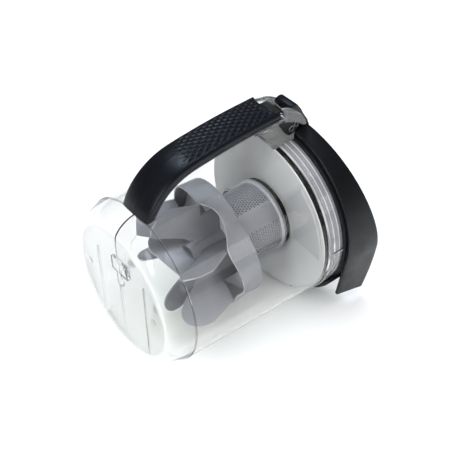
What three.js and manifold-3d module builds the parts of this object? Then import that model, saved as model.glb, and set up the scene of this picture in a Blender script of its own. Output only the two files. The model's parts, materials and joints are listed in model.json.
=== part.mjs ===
// Removable cyclone dust bin of a canister vacuum cleaner, lying on its side.
// Millimetres. Inside the "bin" group +X runs along the cup's axis from its base face to the lid,
// +Z points at the handle, and the group is then pitched until the cup's underside lies level.

import * as THREE from "three";
import { mergeVertices } from "three/addons/utils/BufferGeometryUtils.js";
import Module from "manifold-3d";

const wasm = await Module();
wasm.setup();

// ---- driving dimensions ----
const PITCH = THREE.MathUtils.degToRad(1.7);
const GAP = 0.3;
const ROUND = 48;

const BASE_R = 60.5;
const STEP_X = 22.2;
const STEP_R = 76;
const WALL_END_X = 161;
const WALL_END_R = 79;
const RIM_R = 80;
const RIM_END_X = 176.8;
const CUP_WALL = 2.2;

const HANDLE_HALF = 17.5;
const HANDLE_WALL = 2.2;
const HANDLE_PATH = [[20, 69], [26, 82], [34, 92.5], [45, 101.2], [60, 107.8], [90, 112.2], [125, 114.8],
  [162, 115.6]];
const NOSE_R = 30;
const NOSE_X = 182.4;

const CHEEK_OUT = 12.7;
const CHEEK_IN = 10.7;
const SPINE_HALF = 10;
const BUTTON_HALF = 15;
const BUTTON_WALL = 1.8;
const BUTTON_END_X = 189.2;
const HOOK_HALF = 6.5;
const HOOK_PIN = [180.1, 93.8];
const STOP_PIN = [169.3, 101.3];
const PIN_R = 1.5;
const SPRING_X = 163;

const HOOD_X = 180.1;
const HOOD_R = 84.5;
const HOOD_REAR_R = 87;
const HOOD_WALL = 3.1;
const HOOD_ARC = THREE.MathUtils.degToRad(98);
const HOOD_REAR_X = 212;
const HOOD_LEAN = 0.2;
const HOOD_TURN_Z = 10;
const HOOD_CURL = 0.0022;
const LEG_HALF = 73;
const LEG_FRONT_Z = -63.6;
const LEG_REAR_Z = -72.5;

const PLATE_X = 157.2;
const PLATE_END_X = 159.6;
const PLATE_R = 76.2;
const COLLAR_R = 75.2;
const GROOVE_R = 73.6;
const LID_END_X = 186.2;
const RING_R = 80.6;
const COVER_X = 186.6;
const COVER_END_X = 189.2;
const OUTLET_R = 27;
const HOUSING_R = 32;
const INLET = { r: 13, wall: 1.8, y: 49.6, z: -23 };
const SCREW_RING_R = 63;
const SCREW_ANGLES = [40, 140, 220, 320];

const SKIRT_X = 87;
const SKIRT_END_X = 108;
const FRONT_LOBES = [-38, 24, 104, 138, 200, 262];
const REAR_LOBES = [-42, 112, 190, 258];
const FRONT_TIP_R = 56.8;
const REAR_TIP_R = 55.5;
const FRONT_SCALLOP = 0.0028;
const REAR_SCALLOP = 0.0006;
const GRILLE_R = 31.5;
const GRILLE_END_X = 152;
const NECK_END_X = 162.6;
const VANE_R = 55;
const VANES = [[-4, 55], [64, 55], [129, 61], [180, 57.4], [245, 55], [304, 55]];
const VANE_WALL = 1.8;
const VANE_FRONT = [[81, 0], [80.4, 2.6], [78, 9.4], [73.4, 14.8], [46, 31.4], [39.4, 36], [37.2, 40.6],
  [38, 45], [42.4, 50], [50, 53.8], [60, VANE_R]];
const VANE_END_X = SKIRT_END_X - 2.5;
const CROSS_WEB_ANGLE = 275;
const CROSS_WEB = [[51.5, -19], [48.6, 13], [47.4, 19], [47.8, 24], [50.2, 29.5], [54, 34], [60, 37],
  [82, 37], [SKIRT_X - 0.6, 34.4], [VANE_END_X, 30], [VANE_END_X, -19]];

// ---- materials ----
const finish = (color, roughness, extra = {}) =>
  new THREE.MeshStandardMaterial({ color, roughness, metalness: 0, ...extra });
const clear = () => finish(0xe6e9e6, 0.08, { transparent: true, opacity: 0.28 });
const smoky = () => finish(0x6f7270, 0.15, { transparent: true, opacity: 0.6 });
const black = () => finish(0x16181c, 0.42);
const rubber = () => finish(0x1c1b1b, 0.85);
const grey = () => finish(0x9a9ba3, 0.5);
const foam = () => finish(0x3a3c42, 0.95);
const steel = () => finish(0xb9bcc0, 0.3, { metalness: 1 });

// ---- geometry helpers ----
const bin = new THREE.Group();

function part(name, geometry, material) {
  const mesh = new THREE.Mesh(geometry, material);
  mesh.name = name;
  bin.add(mesh);
  return mesh;
}

function solid(geometry) {
  const bare = geometry.clone();
  bare.deleteAttribute("normal");
  bare.deleteAttribute("uv");
  const merged = mergeVertices(bare, 1e-4);
  const mesh = new wasm.Mesh({
    numProp: 3,
    vertProperties: new Float32Array(merged.attributes.position.array),
    triVerts: new Uint32Array(merged.index.array),
  });
  return new wasm.Manifold(mesh);
}

function geometryOf(manifold) {
  const mesh = manifold.getMesh();
  const geometry = new THREE.BufferGeometry();
  geometry.setAttribute("position", new THREE.BufferAttribute(new Float32Array(mesh.vertProperties), 3));
  geometry.setIndex(new THREE.BufferAttribute(new Uint32Array(mesh.triVerts), 1));
  geometry.computeVertexNormals();
  return geometry;
}

const joined = (...shapes) => geometryOf(shapes.map(solid).reduce((a, b) => a.add(b)));
const cut = (body, ...tools) => geometryOf(tools.map(solid).reduce((a, b) => a.subtract(b), solid(body)));
const common = (a, b) => geometryOf(solid(a).intersect(solid(b)));

// A profile of [x, r] points turned about the X axis.
function turned(profile, segments = ROUND) {
  const points = profile.map(([x, r]) => new THREE.Vector2(r, x));
  const geometry = new THREE.LatheGeometry(points, segments);
  geometry.rotateZ(-Math.PI / 2);
  return outward(geometry);
}

// A closed [x, r] outline turned into a ring about the X axis.
const ring = (outline, segments = ROUND) => turned([...outline, outline[0]], segments);
const tube = (x0, x1, inner, outer, segments) =>
  ring([[x0, inner], [x0, outer], [x1, outer], [x1, inner]], segments);
const rod = (x0, x1, r, segments = 24) => turned([[x0, 0], [x0, r], [x1, r], [x1, 0]], segments);

// Flips a closed mesh whose faces point inwards, and merges its seam.
function outward(geometry) {
  geometry.deleteAttribute("normal");
  geometry.deleteAttribute("uv");
  const merged = mergeVertices(geometry, 1e-4);
  const index = merged.index.array;
  const p = merged.attributes.position;
  const [a, b, c] = [new THREE.Vector3(), new THREE.Vector3(), new THREE.Vector3()];
  const kept = [];
  let volume = 0;
  for (let i = 0; i < index.length; i += 3) {
    const [u, v, w] = [index[i], index[i + 1], index[i + 2]];
    if (u === v || v === w || w === u) continue;
    kept.push([u, v, w]);
    const normal = b.fromBufferAttribute(p, v).cross(c.fromBufferAttribute(p, w));
    volume += a.fromBufferAttribute(p, u).dot(normal);
  }
  merged.setIndex(kept.flatMap(([u, v, w]) => (volume < 0 ? [u, w, v] : [u, v, w])));
  merged.computeVertexNormals();
  return merged;
}

const outlineOf = (points) => new THREE.Shape(points.map(([x, y]) => new THREE.Vector2(x, y)));

// A side outline in [x, z], given its thickness along Y between y0 and y1.
function slab(points, y0, y1) {
  const geometry = new THREE.ExtrudeGeometry(outlineOf(points), { depth: y1 - y0, bevelEnabled: false });
  geometry.translate(0, 0, -y1);
  geometry.rotateX(Math.PI / 2);
  return outward(geometry);
}

// A front outline in [y, z], with optional holes, extruded along X from x0 to x1.
function plate(shape, x0, x1, curveSegments = 12) {
  const options = { depth: x1 - x0, bevelEnabled: false, curveSegments };
  const geometry = new THREE.ExtrudeGeometry(shape, options);
  const toAxis = new THREE.Matrix4().makeBasis(
    new THREE.Vector3(0, 1, 0), new THREE.Vector3(0, 0, 1), new THREE.Vector3(1, 0, 0));
  geometry.applyMatrix4(toAxis);
  geometry.translate(x0, 0, 0);
  return outward(geometry);
}

function block(x0, x1, y0, y1, z0, z1) {
  const geometry = new THREE.BoxGeometry(x1 - x0, y1 - y0, z1 - z0);
  return geometry.translate((x0 + x1) / 2, (y0 + y1) / 2, (z0 + z1) / 2);
}

const moved = (geometry, x, y, z) => geometry.translate(x, y, z);
const crossPin = ([x, z], half, r, segments = 20) => {
  const geometry = new THREE.CylinderGeometry(r, r, 2 * half, segments);
  return geometry.translate(x, 0, z);
};
const upright = (x, y, z0, z1, r, segments = 24) => {
  const geometry = new THREE.CylinderGeometry(r, r, z1 - z0, segments);
  geometry.rotateX(Math.PI / 2);
  return geometry.translate(x, y, (z0 + z1) / 2);
};

// Sections are equal loops of points. Cap triangles close both ends and wind the way the loops run.
function lofted(sections, capTriangles) {
  const count = sections[0].length;
  const position = sections.flat().flatMap((p) => [p.x, p.y, p.z]);
  const index = [];
  for (let i = 0; i + 1 < sections.length; i++) {
    for (let j = 0; j < count; j++) {
      const k = (j + 1) % count;
      const [a, b, c, d] = [i * count + j, i * count + k, (i + 1) * count + k, (i + 1) * count + j];
      index.push(a, b, c, a, c, d);
    }
  }
  const last = (sections.length - 1) * count;
  for (const [a, b, c] of capTriangles) {
    index.push(a, c, b, a + last, b + last, c + last);
  }
  const geometry = new THREE.BufferGeometry();
  geometry.setAttribute("position", new THREE.BufferAttribute(new Float32Array(position), 3));
  geometry.setIndex(index);
  return outward(geometry);
}

// Triangles that fill a closed outline, wound the way the outline runs.
function capOf(outline) {
  const points = outline.map(([x, y]) => new THREE.Vector2(x, y));
  const turn = Math.sign(THREE.ShapeUtils.area(points));
  return THREE.ShapeUtils.triangulateShape([...points], []).map(([a, b, c]) => {
    const same = Math.sign(THREE.ShapeUtils.area([points[a], points[b], points[c]])) === turn;
    return same ? [a, b, c] : [a, c, b];
  });
}

// A skin between an outer and an inner grid of points, closed along its four edges.
function skin(outer, inner) {
  const loops = outer.map((row, i) => [...row, ...[...inner[i]].reverse()]);
  const end = loops[0].length - 1;
  const caps = [];
  for (let j = 0; j + 1 < outer[0].length; j++) {
    caps.push([j, j + 1, end - j - 1], [j, end - j - 1, end - j]);
  }
  return lofted(loops, caps);
}

const lerp = THREE.MathUtils.lerp;

// Height at x on a line of [x, z] points.
function heightAt(line, x) {
  const i = Math.max(1, line.findIndex(([px]) => px >= x));
  const [[x0, z0], [x1, z1]] = [line[i - 1], line[i]];
  return lerp(z0, z1, THREE.MathUtils.clamp((x - x0) / (x1 - x0), 0, 1));
}

// ---- dust cup ----
function baseCurve(inset) {
  const curve = new THREE.QuadraticBezierCurve(
    new THREE.Vector2(inset, BASE_R - inset * 0.4),
    new THREE.Vector2(5 + inset * 0.5, 71.5 - inset * 0.6),
    new THREE.Vector2(STEP_X, STEP_R - 0.5 - inset));
  return curve.getPoints(5).map((p) => [p.x, p.y]);
}

function cupOutline() {
  const outside = [...baseCurve(0), [STEP_X + 0.4, STEP_R], [WALL_END_X, WALL_END_R],
    [WALL_END_X + 1.2, RIM_R], [RIM_END_X, RIM_R]];
  const inside = [[RIM_END_X, RIM_R - CUP_WALL], [WALL_END_X + 1.2, RIM_R - CUP_WALL - 0.1],
    [WALL_END_X, WALL_END_R - CUP_WALL], [STEP_X + 0.4, STEP_R - CUP_WALL], ...baseCurve(CUP_WALL).reverse()];
  return [[0, 0], ...outside, ...inside, [CUP_WALL, 0]];
}

// The cup as a filled body, a little larger all round.
function cupEnvelope(grow) {
  const side = [[-5, BASE_R], ...baseCurve(0), [STEP_X + 0.4, STEP_R], [WALL_END_X, WALL_END_R],
    [WALL_END_X + 1.2, RIM_R], [RIM_END_X + 1, RIM_R]];
  return turned([[-5, 0], ...side.map(([x, r]) => [x, r + grow]), [RIM_END_X + 1, 0]]);
}

const groundZ = (x) => -STEP_R - (x - STEP_X) * Math.tan(PITCH);

// A thin web across the cup's corner, in the plane of the handle.
function baseWeb() {
  const root = [[CUP_WALL - 0.4, 21], ...baseCurve(CUP_WALL - 0.4), [STEP_X + 1.5, STEP_R - CUP_WALL + 0.3]];
  const free = [[22.6, 72], [21.6, 51.2], [15.2, 46.2], [12.5, 38.9], [6.6, 21]];
  return slab([...root, ...free], -0.7, 0.7);
}

// A small raised stop on the rim, level with the axis on the near side.
const rimStop = () => block(165.4, 176.2, -RIM_R - 1, -RIM_R + 1, -1.6, 1.6);

// A clear rib under the rim that keeps the lying bin from rolling.
function restRib(side) {
  const [x0, x1] = [164, 175];
  const outline = [[x0, -72.5], [x1, -72.5], [x1, groundZ(x1)], [x0, groundZ(x0)]];
  return slab(outline, side * 27 - 4, side * 27 + 4);
}

function dustCup() {
  const raised = (height, ...sides) => block(CUP_WALL - 0.5, CUP_WALL + height, ...sides);
  const faceRibs = [-35, 0, 30].map((y) => raised(1.3, y - 0.7, y + 0.7, -54, y ? 30 : 8));
  const boss = raised(3, -13, 10, 21, 35);
  const tongue = raised(2, -4, 3, 8, 22);
  const hollow = turned([[CUP_WALL, 0], ...baseCurve(CUP_WALL), [STEP_X + 0.4, STEP_R - CUP_WALL],
    [WALL_END_X, WALL_END_R - CUP_WALL], [RIM_END_X + 5, RIM_R - CUP_WALL], [RIM_END_X + 5, 0]]);
  const ribs = [1, -1].map((side) => cut(restRib(side), hollow));
  return joined(turned(cupOutline()), ...faceRibs, boss, tongue, baseWeb(), rimStop(), ...ribs);
}

// ---- handle ----
const handlePoints = HANDLE_PATH.map(([x, z]) => new THREE.Vector3(x, 0, z));
const handleCurve = new THREE.CatmullRomCurve3(handlePoints, false, "centripetal");

function sweptHandle(outline, steps = 20) {
  const sections = [];
  for (let i = 0; i <= steps; i++) {
    const centre = handleCurve.getPointAt(i / steps);
    const along = handleCurve.getTangentAt(i / steps);
    const normal = new THREE.Vector3(-along.z, 0, along.x);
    sections.push(outline.map(([y, n]) => centre.clone().addScaledVector(normal, n).setY(y)));
  }
  return lofted(sections, capOf(outline));
}

// Half an outline, whose last point lies on the middle plane, with its mirror image.
const mirrored = (half) => [...half, ...half.filter(([y]) => y !== 0).map(([y, n]) => [-y, n]).reverse()];

function upperShellOutline() {
  const edge = [[-HANDLE_HALF, -4.4], [-HANDLE_HALF, -0.9], [-16.7, 0.4]];
  const outer = mirrored([...edge, [-14.5, 1.3], [-8, 2.4], [0, 2.9]]);
  const w = HANDLE_WALL;
  const innerEdge = [[-HANDLE_HALF + w, -4.4], [-HANDLE_HALF + w, -1.3]];
  const inner = mirrored([...innerEdge, [-13.6, -0.9], [-8, 0.2], [0, 0.7]]);
  return [...outer, ...inner.reverse()];
}

function lowerShellOutline() {
  const outer = mirrored([[-17.1, -5.1], [-17.3, -6.3], [-9, -10.4], [0, -11.8]]);
  const inner = mirrored([[-14.7, -5.1], [-8, -8.2], [0, -9.5]]);
  return [...outer, ...inner.reverse()];
}

const noseCutter = (r) => upright(NOSE_X, 0, 60, 140, r, 96);

const FRONT_SCREW = { x: 76, top: 105.2, bottom: 97.9 };
const REAR_SCREW = { x: 147.5, top: 107.5, bottom: 97.7 };

function screw({ x, top, bottom }, headDrop) {
  const head = upright(x, 0, bottom - headDrop, bottom, 3, 14);
  const recess = block(x - 2, x + 2, -0.4, 0.4, bottom - headDrop - 1, bottom - headDrop + 0.7);
  const recessAcross = block(x - 0.4, x + 0.4, -2, 2, bottom - headDrop - 1, bottom - headDrop + 0.7);
  return cut(joined(head, upright(x, 0, bottom - 0.2, top, 1.4, 8)), recess, recessAcross);
}

function handleShell(outline, holes) {
  return cut(sweptHandle(outline), cupEnvelope(GAP), noseCutter(NOSE_R), ...holes);
}

const screwHoles = () => [FRONT_SCREW, REAR_SCREW].map(({ x }) => upright(x, 0, 90, 108.5, 1.8, 20));

// ---- latch ----
const BRACKET_SIDE = [[143.5, 103], [152, 103], [158.3, 104.6], [170, 105.2], [177.2, 100.2], [182, 94.2],
  [183, 90], [179.4, 87.2], [177.6, 83], [177.6, 74], [157, 74], [151, 86], [143.5, 98]];

function latchBracket() {
  const sides = [[CHEEK_IN, CHEEK_OUT], [-CHEEK_OUT, -CHEEK_IN]];
  const cheeks = sides.map(([y0, y1]) => slab(BRACKET_SIDE, y0, y1));
  const base = block(157, 177.6, -CHEEK_OUT, CHEEK_OUT, 74, 83.6);
  const post = block(143.5, 152, -CHEEK_OUT, CHEEK_OUT, 98, 103.2);
  const holes = [HOOK_PIN, STOP_PIN].map((at) => crossPin(at, 20, PIN_R + 0.3));
  const screwHole = upright(REAR_SCREW.x, 0, 90, 108, 1.8, 20);
  return cut(joined(...cheeks, base, post), cupEnvelope(GAP), ...holes, screwHole);
}

function latchHook() {
  const outline = [[160.5, 97], [160.5, 104.1], [164.5, 104.1], [166, 99.1], [176.5, 97.6], [182.3, 97.2],
    [188.6, 94], [188.6, 88.1], [186, 88.1], [184.8, 91], [178, 90.4], [171, 94.4], [167, 97]];
  return cut(slab(outline, -HOOK_HALF, HOOK_HALF), crossPin(HOOK_PIN, 20, PIN_R + 0.1));
}

function coil(x, z0, z1, r, wire, turns) {
  class Helix extends THREE.Curve {
    getPoint(t, target = new THREE.Vector3()) {
      const angle = t * turns * 2 * Math.PI;
      return target.set(x + r * Math.cos(angle), r * Math.sin(angle), lerp(z0, z1, t));
    }
  }
  const section = new THREE.Shape();
  section.absarc(0, 0, wire, 0, 2 * Math.PI);
  const geometry = new THREE.ExtrudeGeometry(section,
    { steps: turns * 10, extrudePath: new Helix(), curveSegments: 3, bevelEnabled: false });
  return outward(geometry);
}

const BUTTON_TOP = [[152, 115.4], [158, 115.2], [163, 114.2], [170.2, 112.6], [177.6, 108.4], [184.3, 102.4],
  [BUTTON_END_X, 92.8]];
const BUTTON_LOW = [[152, 111], [156, 108.4], [159.5, 104.6], [164.3, 103.4], [173.5, 99.6], [181.5, 94.8],
  [186.9, 90.6], [BUTTON_END_X, 90.6]];

function buttonSection(x) {
  const top = heightAt(BUTTON_TOP, x);
  const low = Math.min(heightAt(BUTTON_LOW, x), top - 1);
  const crown = 2.4 * THREE.MathUtils.clamp((BUTTON_END_X - x) / 20, 0.1, 1);
  const [h, w] = [BUTTON_HALF, BUTTON_WALL];
  const cheek = [[-h, low], [-h, Math.max(top - 1.2, low + 0.4)], [-h + 1, top]];
  const innerCheek = [[-h + w, low], [-h + w, Math.max(top - 2, low + 0.2)], [-h + w + 0.6, top - w]];
  const outer = mirrored([...cheek, [-8, top + crown * 0.7], [0, top + crown]]);
  const inner = mirrored([...innerCheek, [-8, top + crown * 0.7 - w], [0, top + crown - w]]);
  return [...outer, ...inner.reverse()];
}

function releaseButton() {
  const stations = [152, 154, 156, 158, 160, 163, 165, 168.5, 172, 174.5, 177.6, 181, 184.3, 186, 188,
    BUTTON_END_X];
  const sections = stations.map((x) => buttonSection(x).map(([y, z]) => new THREE.Vector3(x, y, z)));
  const shell = lofted(sections, capOf(buttonSection(170)));
  const slot = block(165.6, 200, -SPINE_HALF - 0.4, SPINE_HALF + 0.4, 60, 130);
  return common(cut(shell, slot), noseCutter(NOSE_R - 0.4));
}

function buttonPlunger() {
  const pad = block(156.4, 165.2, -9.5, 9.5, 109, 111.6);
  const stem = block(159.6, 165.2, -9.5, 9.5, 104.6, 109.5);
  return joined(pad, stem);
}

// ---- lid ----
// The hood's rear edge leans back downwards, then curls in again along the legs.
function hoodRearX(z) {
  const below = Math.min(0, z - HOOD_TURN_Z);
  return HOOD_REAR_X - HOOD_LEAN * z - HOOD_CURL * below * below;
}

// Points of the hood's outline in [y, z] at radius r, with its legs down to footZ, inset along its normal.
function hoodOutline(r, footZ, inset) {
  const points = [];
  const arcSteps = 32;
  const legSteps = 6;
  const [hipY, hipZ] = [r * Math.sin(HOOD_ARC), r * Math.cos(HOOD_ARC)];
  const leg = new THREE.Vector2(LEG_HALF - hipY, footZ - hipZ).normalize();
  for (let i = legSteps; i > 0; i--) {
    const t = i / legSteps;
    points.push([-lerp(hipY, LEG_HALF, t) - inset * leg.y, lerp(hipZ, footZ, t) + inset * leg.x]);
  }
  for (let i = 0; i <= arcSteps; i++) {
    const a = lerp(-HOOD_ARC, HOOD_ARC, i / arcSteps);
    points.push([(r - inset) * Math.sin(a), (r - inset) * Math.cos(a)]);
  }
  for (let i = 1; i <= legSteps; i++) {
    const t = i / legSteps;
    points.push([lerp(hipY, LEG_HALF, t) + inset * leg.y, lerp(hipZ, footZ, t) + inset * leg.x]);
  }
  return points;
}

function hoodGrid(inset, reach = 0) {
  const rows = 5;
  const grid = [];
  for (let i = 0; i <= rows; i++) {
    const t = i / rows;
    const r = lerp(HOOD_R, HOOD_REAR_R, t) + 1.2 * Math.sin(Math.PI * t);
    const outline = hoodOutline(r, lerp(LEG_FRONT_Z, LEG_REAR_Z, t), inset);
    const depthAt = (z) => lerp(HOOD_X - reach, hoodRearX(z) + reach, t);
    grid.push(outline.map(([y, z]) => new THREE.Vector3(depthAt(z), y, z)));
  }
  return grid;
}

function lidHood() {
  const catchLip = block(183, 184.4, -6, 6, 83.2, 87.5);
  return joined(skin(hoodGrid(0), hoodGrid(HOOD_WALL)), catchLip);
}

function hoodEnvelope() {
  return solid(skin(hoodGrid(-GAP, 1), hoodGrid(HOOD_WALL + 3, 1)));
}

function spineBlock() {
  const side = [[174.6, 100], [174.6, 108.4], [176.8, 110.8], [180.4, 111.5], [183.4, 110.8], [187.9, 104.1],
    [190.8, 97.9], [195.4, 90], [197.4, 84], [197.4, 83], [187, 83], [187, 96], [183, 100]];
  const channel = [[176.8, 70], [176.8, 107.6], [180.2, 109], [182.4, 108.4], [186, 102.8], [189, 96],
    [192.6, 89.6], [192.6, 70]];
  const body = solid(slab(side, -SPINE_HALF, SPINE_HALF)).subtract(solid(slab(channel, -8, 8)));
  return geometryOf(body.subtract(hoodEnvelope()));
}

const boltCircle = SCREW_ANGLES.map((deg) => {
  const a = THREE.MathUtils.degToRad(deg);
  return [SCREW_RING_R * Math.sin(a), SCREW_RING_R * Math.cos(a)];
});

// Three entry notches beside the bayonet's lugs.
function lugSectors(inner, outer, x0, x1, turn, half) {
  return [0, 1, 2].map((k) => {
    const a = THREE.MathUtils.degToRad(120 * k + turn);
    const h = THREE.MathUtils.degToRad(half);
    const shape = new THREE.Shape();
    shape.absarc(0, 0, outer, a - h, a + h, false);
    shape.absarc(0, 0, inner, a + h, a - h, true);
    return plate(shape, x0, x1, 6);
  });
}

// A raised sector on the end plate, on the side towards the near wall.
function swirlRamp() {
  const [from, to] = [40, 95].map((deg) => THREE.MathUtils.degToRad(90 + deg));
  const shape = new THREE.Shape();
  shape.absarc(0, 0, 73, from, to, false);
  shape.absarc(0, 0, 38, to, from, true);
  return plate(shape, PLATE_X - GAP - 1.6, PLATE_X - GAP, 10);
}

function lidFrame() {
  const gasketGroove = [[158.6, PLATE_R], [158.6, GROOVE_R], [162.9, GROOVE_R], [162.9, COLLAR_R]];
  const collar = [[LID_END_X, COLLAR_R], [LID_END_X, COLLAR_R - 2.4], [PLATE_END_X, COLLAR_R - 2.4]];
  const housing = [[PLATE_END_X, HOUSING_R + 2.2], [LID_END_X, HOUSING_R + 2.2], [LID_END_X, HOUSING_R],
    [PLATE_END_X, HOUSING_R], [PLATE_END_X, OUTLET_R]];
  const body = ring([[PLATE_X, OUTLET_R], [PLATE_X, PLATE_R], ...gasketGroove, ...collar, ...housing]);
  const bosses = boltCircle.map(([y, z]) => moved(rod(159, LID_END_X, 3.6, 14), 0, y, z));
  const pilots = boltCircle.map(([y, z]) => moved(rod(170, LID_END_X + 1, 1.7, 12), 0, y, z));
  const inletHole = moved(rod(150, 170, INLET.r + INLET.wall + GAP, 28), 0, INLET.y, INLET.z);
  const notches = lugSectors(20, 30.6, 150, 160.5, 50, 13);
  return cut(joined(body, ...bosses), inletHole, ...pilots, ...notches);
}

function lidRing() {
  const inner = COLLAR_R + GAP;
  const skirtR = RING_R - 2.2;
  return ring([[178.2, inner], [178.2, RING_R], [190, RING_R], [190, skirtR], [181, skirtR], [181, inner]]);
}

function guideTab(side) {
  const shape = new THREE.Shape();
  const [a0, a1] = [122, 146].map((deg) => THREE.MathUtils.degToRad(90 - deg));
  shape.absarc(0, 0, RING_R + GAP + 3.2, a0, a1, true);
  shape.absarc(0, 0, RING_R + GAP, a1, a0, false);
  const geometry = plate(shape, 172.5, 197, 10);
  return side > 0 ? geometry : outward(geometry.scale(1, -1, 1));
}

function backCover() {
  const disc = tube(COVER_X, COVER_END_X, OUTLET_R, RING_R - 2.2 - GAP);
  const lip = tube(COVER_END_X - 0.4, COVER_END_X + 1.6, HOUSING_R + 3, HOUSING_R + 5);
  const inletHole = moved(rod(150, 200, INLET.r + INLET.wall + GAP, 28), 0, INLET.y, INLET.z);
  const holes = boltCircle.map(([y, z]) => moved(rod(180, 200, 1.7, 12), 0, y, z));
  return cut(joined(disc, lip), inletHole, ...holes);
}

function outletGrille() {
  const rim = new THREE.Path().absarc(0, 0, HOUSING_R + 2.6, 0, 2 * Math.PI);
  const shape = new THREE.Shape(rim.getPoints(20).slice(1));
  const slots = 10;
  for (let k = 0; k < slots; k++) {
    const a = (2 * Math.PI * k) / slots;
    const hole = new THREE.Path();
    hole.absarc(0, 0, 30, a - 0.26, a + 0.26, false);
    hole.absarc(0, 0, 9, a + 0.18, a - 0.18, true);
    shape.holes.push(hole);
  }
  return plate(shape, COVER_END_X + GAP, COVER_END_X + 2, 2);
}

const filterFoam = () => rod(163.6, 185.6, HOUSING_R - 1, 40);

function inletDuct() {
  const wall = tube(156.2, COVER_END_X + 0.8, INLET.r, INLET.r + INLET.wall, 28);
  return moved(wall, 0, INLET.y, INLET.z);
}

function inletSeal() {
  const { r, y, z } = INLET;
  const outline = [[190.3, r], [190.3, r + 4.2], [192, r + 4.2], [194.2, r + 2.2], [194.2, r + 0.8]];
  return moved(ring(outline, 28), 0, y, z);
}

function lidScrew([y, z]) {
  const head = rod(COVER_END_X + 0.2, COVER_END_X + 2.2, 3.1, 14);
  const shank = rod(174, COVER_END_X + 0.4, 1.4, 8);
  const slotA = block(COVER_END_X + 1.4, COVER_END_X + 3, -2, 2, -0.4, 0.4);
  const slotB = block(COVER_END_X + 1.4, COVER_END_X + 3, -0.4, 0.4, -2, 2);
  return moved(cut(joined(head, shank), slotA, slotB), 0, y, z);
}

// ---- cyclone unit ----
// A profile whose radii wave with the angle, turned about the X axis and closed on it at both ends.
function waved(profileAt, segments) {
  const rows = profileAt(0).length;
  const position = [];
  for (let i = 0; i < segments; i++) {
    const a = (2 * Math.PI * i) / segments;
    for (const [x, r] of profileAt(a)) position.push(x, r * Math.sin(a), r * Math.cos(a));
  }
  const index = [];
  for (let i = 0; i < segments; i++) {
    const k = (i + 1) % segments;
    for (let j = 0; j + 1 < rows; j++) {
      const [a, b, c, d] = [i * rows + j, k * rows + j, k * rows + j + 1, i * rows + j + 1];
      index.push(a, b, c, a, c, d);
    }
  }
  const geometry = new THREE.BufferGeometry();
  geometry.setAttribute("position", new THREE.BufferAttribute(new Float32Array(position), 3));
  geometry.setIndex(index);
  return outward(geometry);
}

// An edge's radius at an angle in degrees from +Z towards -Y, between lobe tips at the given angles.
// The depth of a scallop grows with the square of its width.
function lobedRadius(tips, tipR, depth, deg) {
  const turn = THREE.MathUtils.euclideanModulo(deg - tips[0], 360) + tips[0];
  const ends = [...tips, tips[0] + 360];
  const k = ends.findLastIndex((tip) => tip <= turn);
  const width = ends[k + 1] - ends[k];
  return tipR - (depth * width ** 2 * (1 - Math.cos((2 * Math.PI * (turn - ends[k])) / width))) / 2;
}

const skirtFrontR = (deg) => lobedRadius(FRONT_LOBES, FRONT_TIP_R, FRONT_SCALLOP, deg);
const skirtRearR = (deg) => lobedRadius(REAR_LOBES, REAR_TIP_R, REAR_SCALLOP, deg);

function lobedSkirt() {
  const profileAt = (a) => {
    const deg = -THREE.MathUtils.radToDeg(a);
    const front = skirtFrontR(deg);
    const rear = skirtRearR(deg);
    return [[SKIRT_END_X, 0], [SKIRT_END_X, rear], [SKIRT_X, front], [SKIRT_X, front - 1.8],
      [SKIRT_END_X - 2.2, rear - 2.4], [SKIRT_END_X - 2.2, 0]];
  };
  return waved(profileAt, 70);
}

// A vane's outline in [x, r]: its front edge sweeps back from a rounded tip to the core, and its outer
// edge comes in to the skirt's front edge.
function vaneOutline(deg, reach) {
  const root = GRILLE_R + 2.5;
  const front = VANE_FRONT.map(([x, r]) => [x, (r * reach) / VANE_R]);
  const rear = [[SKIRT_X - 0.6, skirtFrontR(deg) - 1.6], [SKIRT_X - 0.4, root], [VANE_END_X, root],
    [VANE_END_X, 0]];
  return [...front, ...rear];
}

function vaneStar() {
  const half = VANE_WALL / 2;
  const turn = (geometry, deg) => geometry.rotateX(THREE.MathUtils.degToRad(deg));
  const vanes = VANES.map(([deg, reach]) => turn(slab(vaneOutline(deg, reach), -half, half), deg));
  const web = turn(slab(CROSS_WEB, -half, half), CROSS_WEB_ANGLE);
  const core = turned([[81, 0], [80.6, 2.4], [78.8, 5], [75, 7.4], [VANE_END_X, 9], [VANE_END_X, 0]], 24);
  return joined(core, web, ...vanes);
}

function grilleCylinder() {
  const x0 = SKIRT_END_X + GAP;
  const x1 = GRILLE_END_X;
  const front = [[x0, GRILLE_R - 2], [x0, GRILLE_R + 1], [x0 + 3, GRILLE_R + 1], [x0 + 3.4, GRILLE_R]];
  const flange = [[x1 - 3, GRILLE_R], [x1 - 2.4, GRILLE_R + 3], [x1, GRILLE_R + 3], [x1, GRILLE_R - 2]];
  return ring([...front, ...flange]);
}

function bayonetCollar() {
  const x0 = GRILLE_END_X + GAP;
  const neckR = OUTLET_R - 0.5;
  const neck = ring([[x0, 24], [x0, 31], [154.6, 31], [154.6, neckR], [NECK_END_X, neckR], [NECK_END_X, 24]]);
  const lugs = lugSectors(25, 30, 160.1, NECK_END_X, 0, 11);
  return joined(neck, ...lugs);
}

const cycloneSeal = () => tube(154.9, PLATE_X - GAP, OUTLET_R + 0.6, 33, 48);

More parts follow.
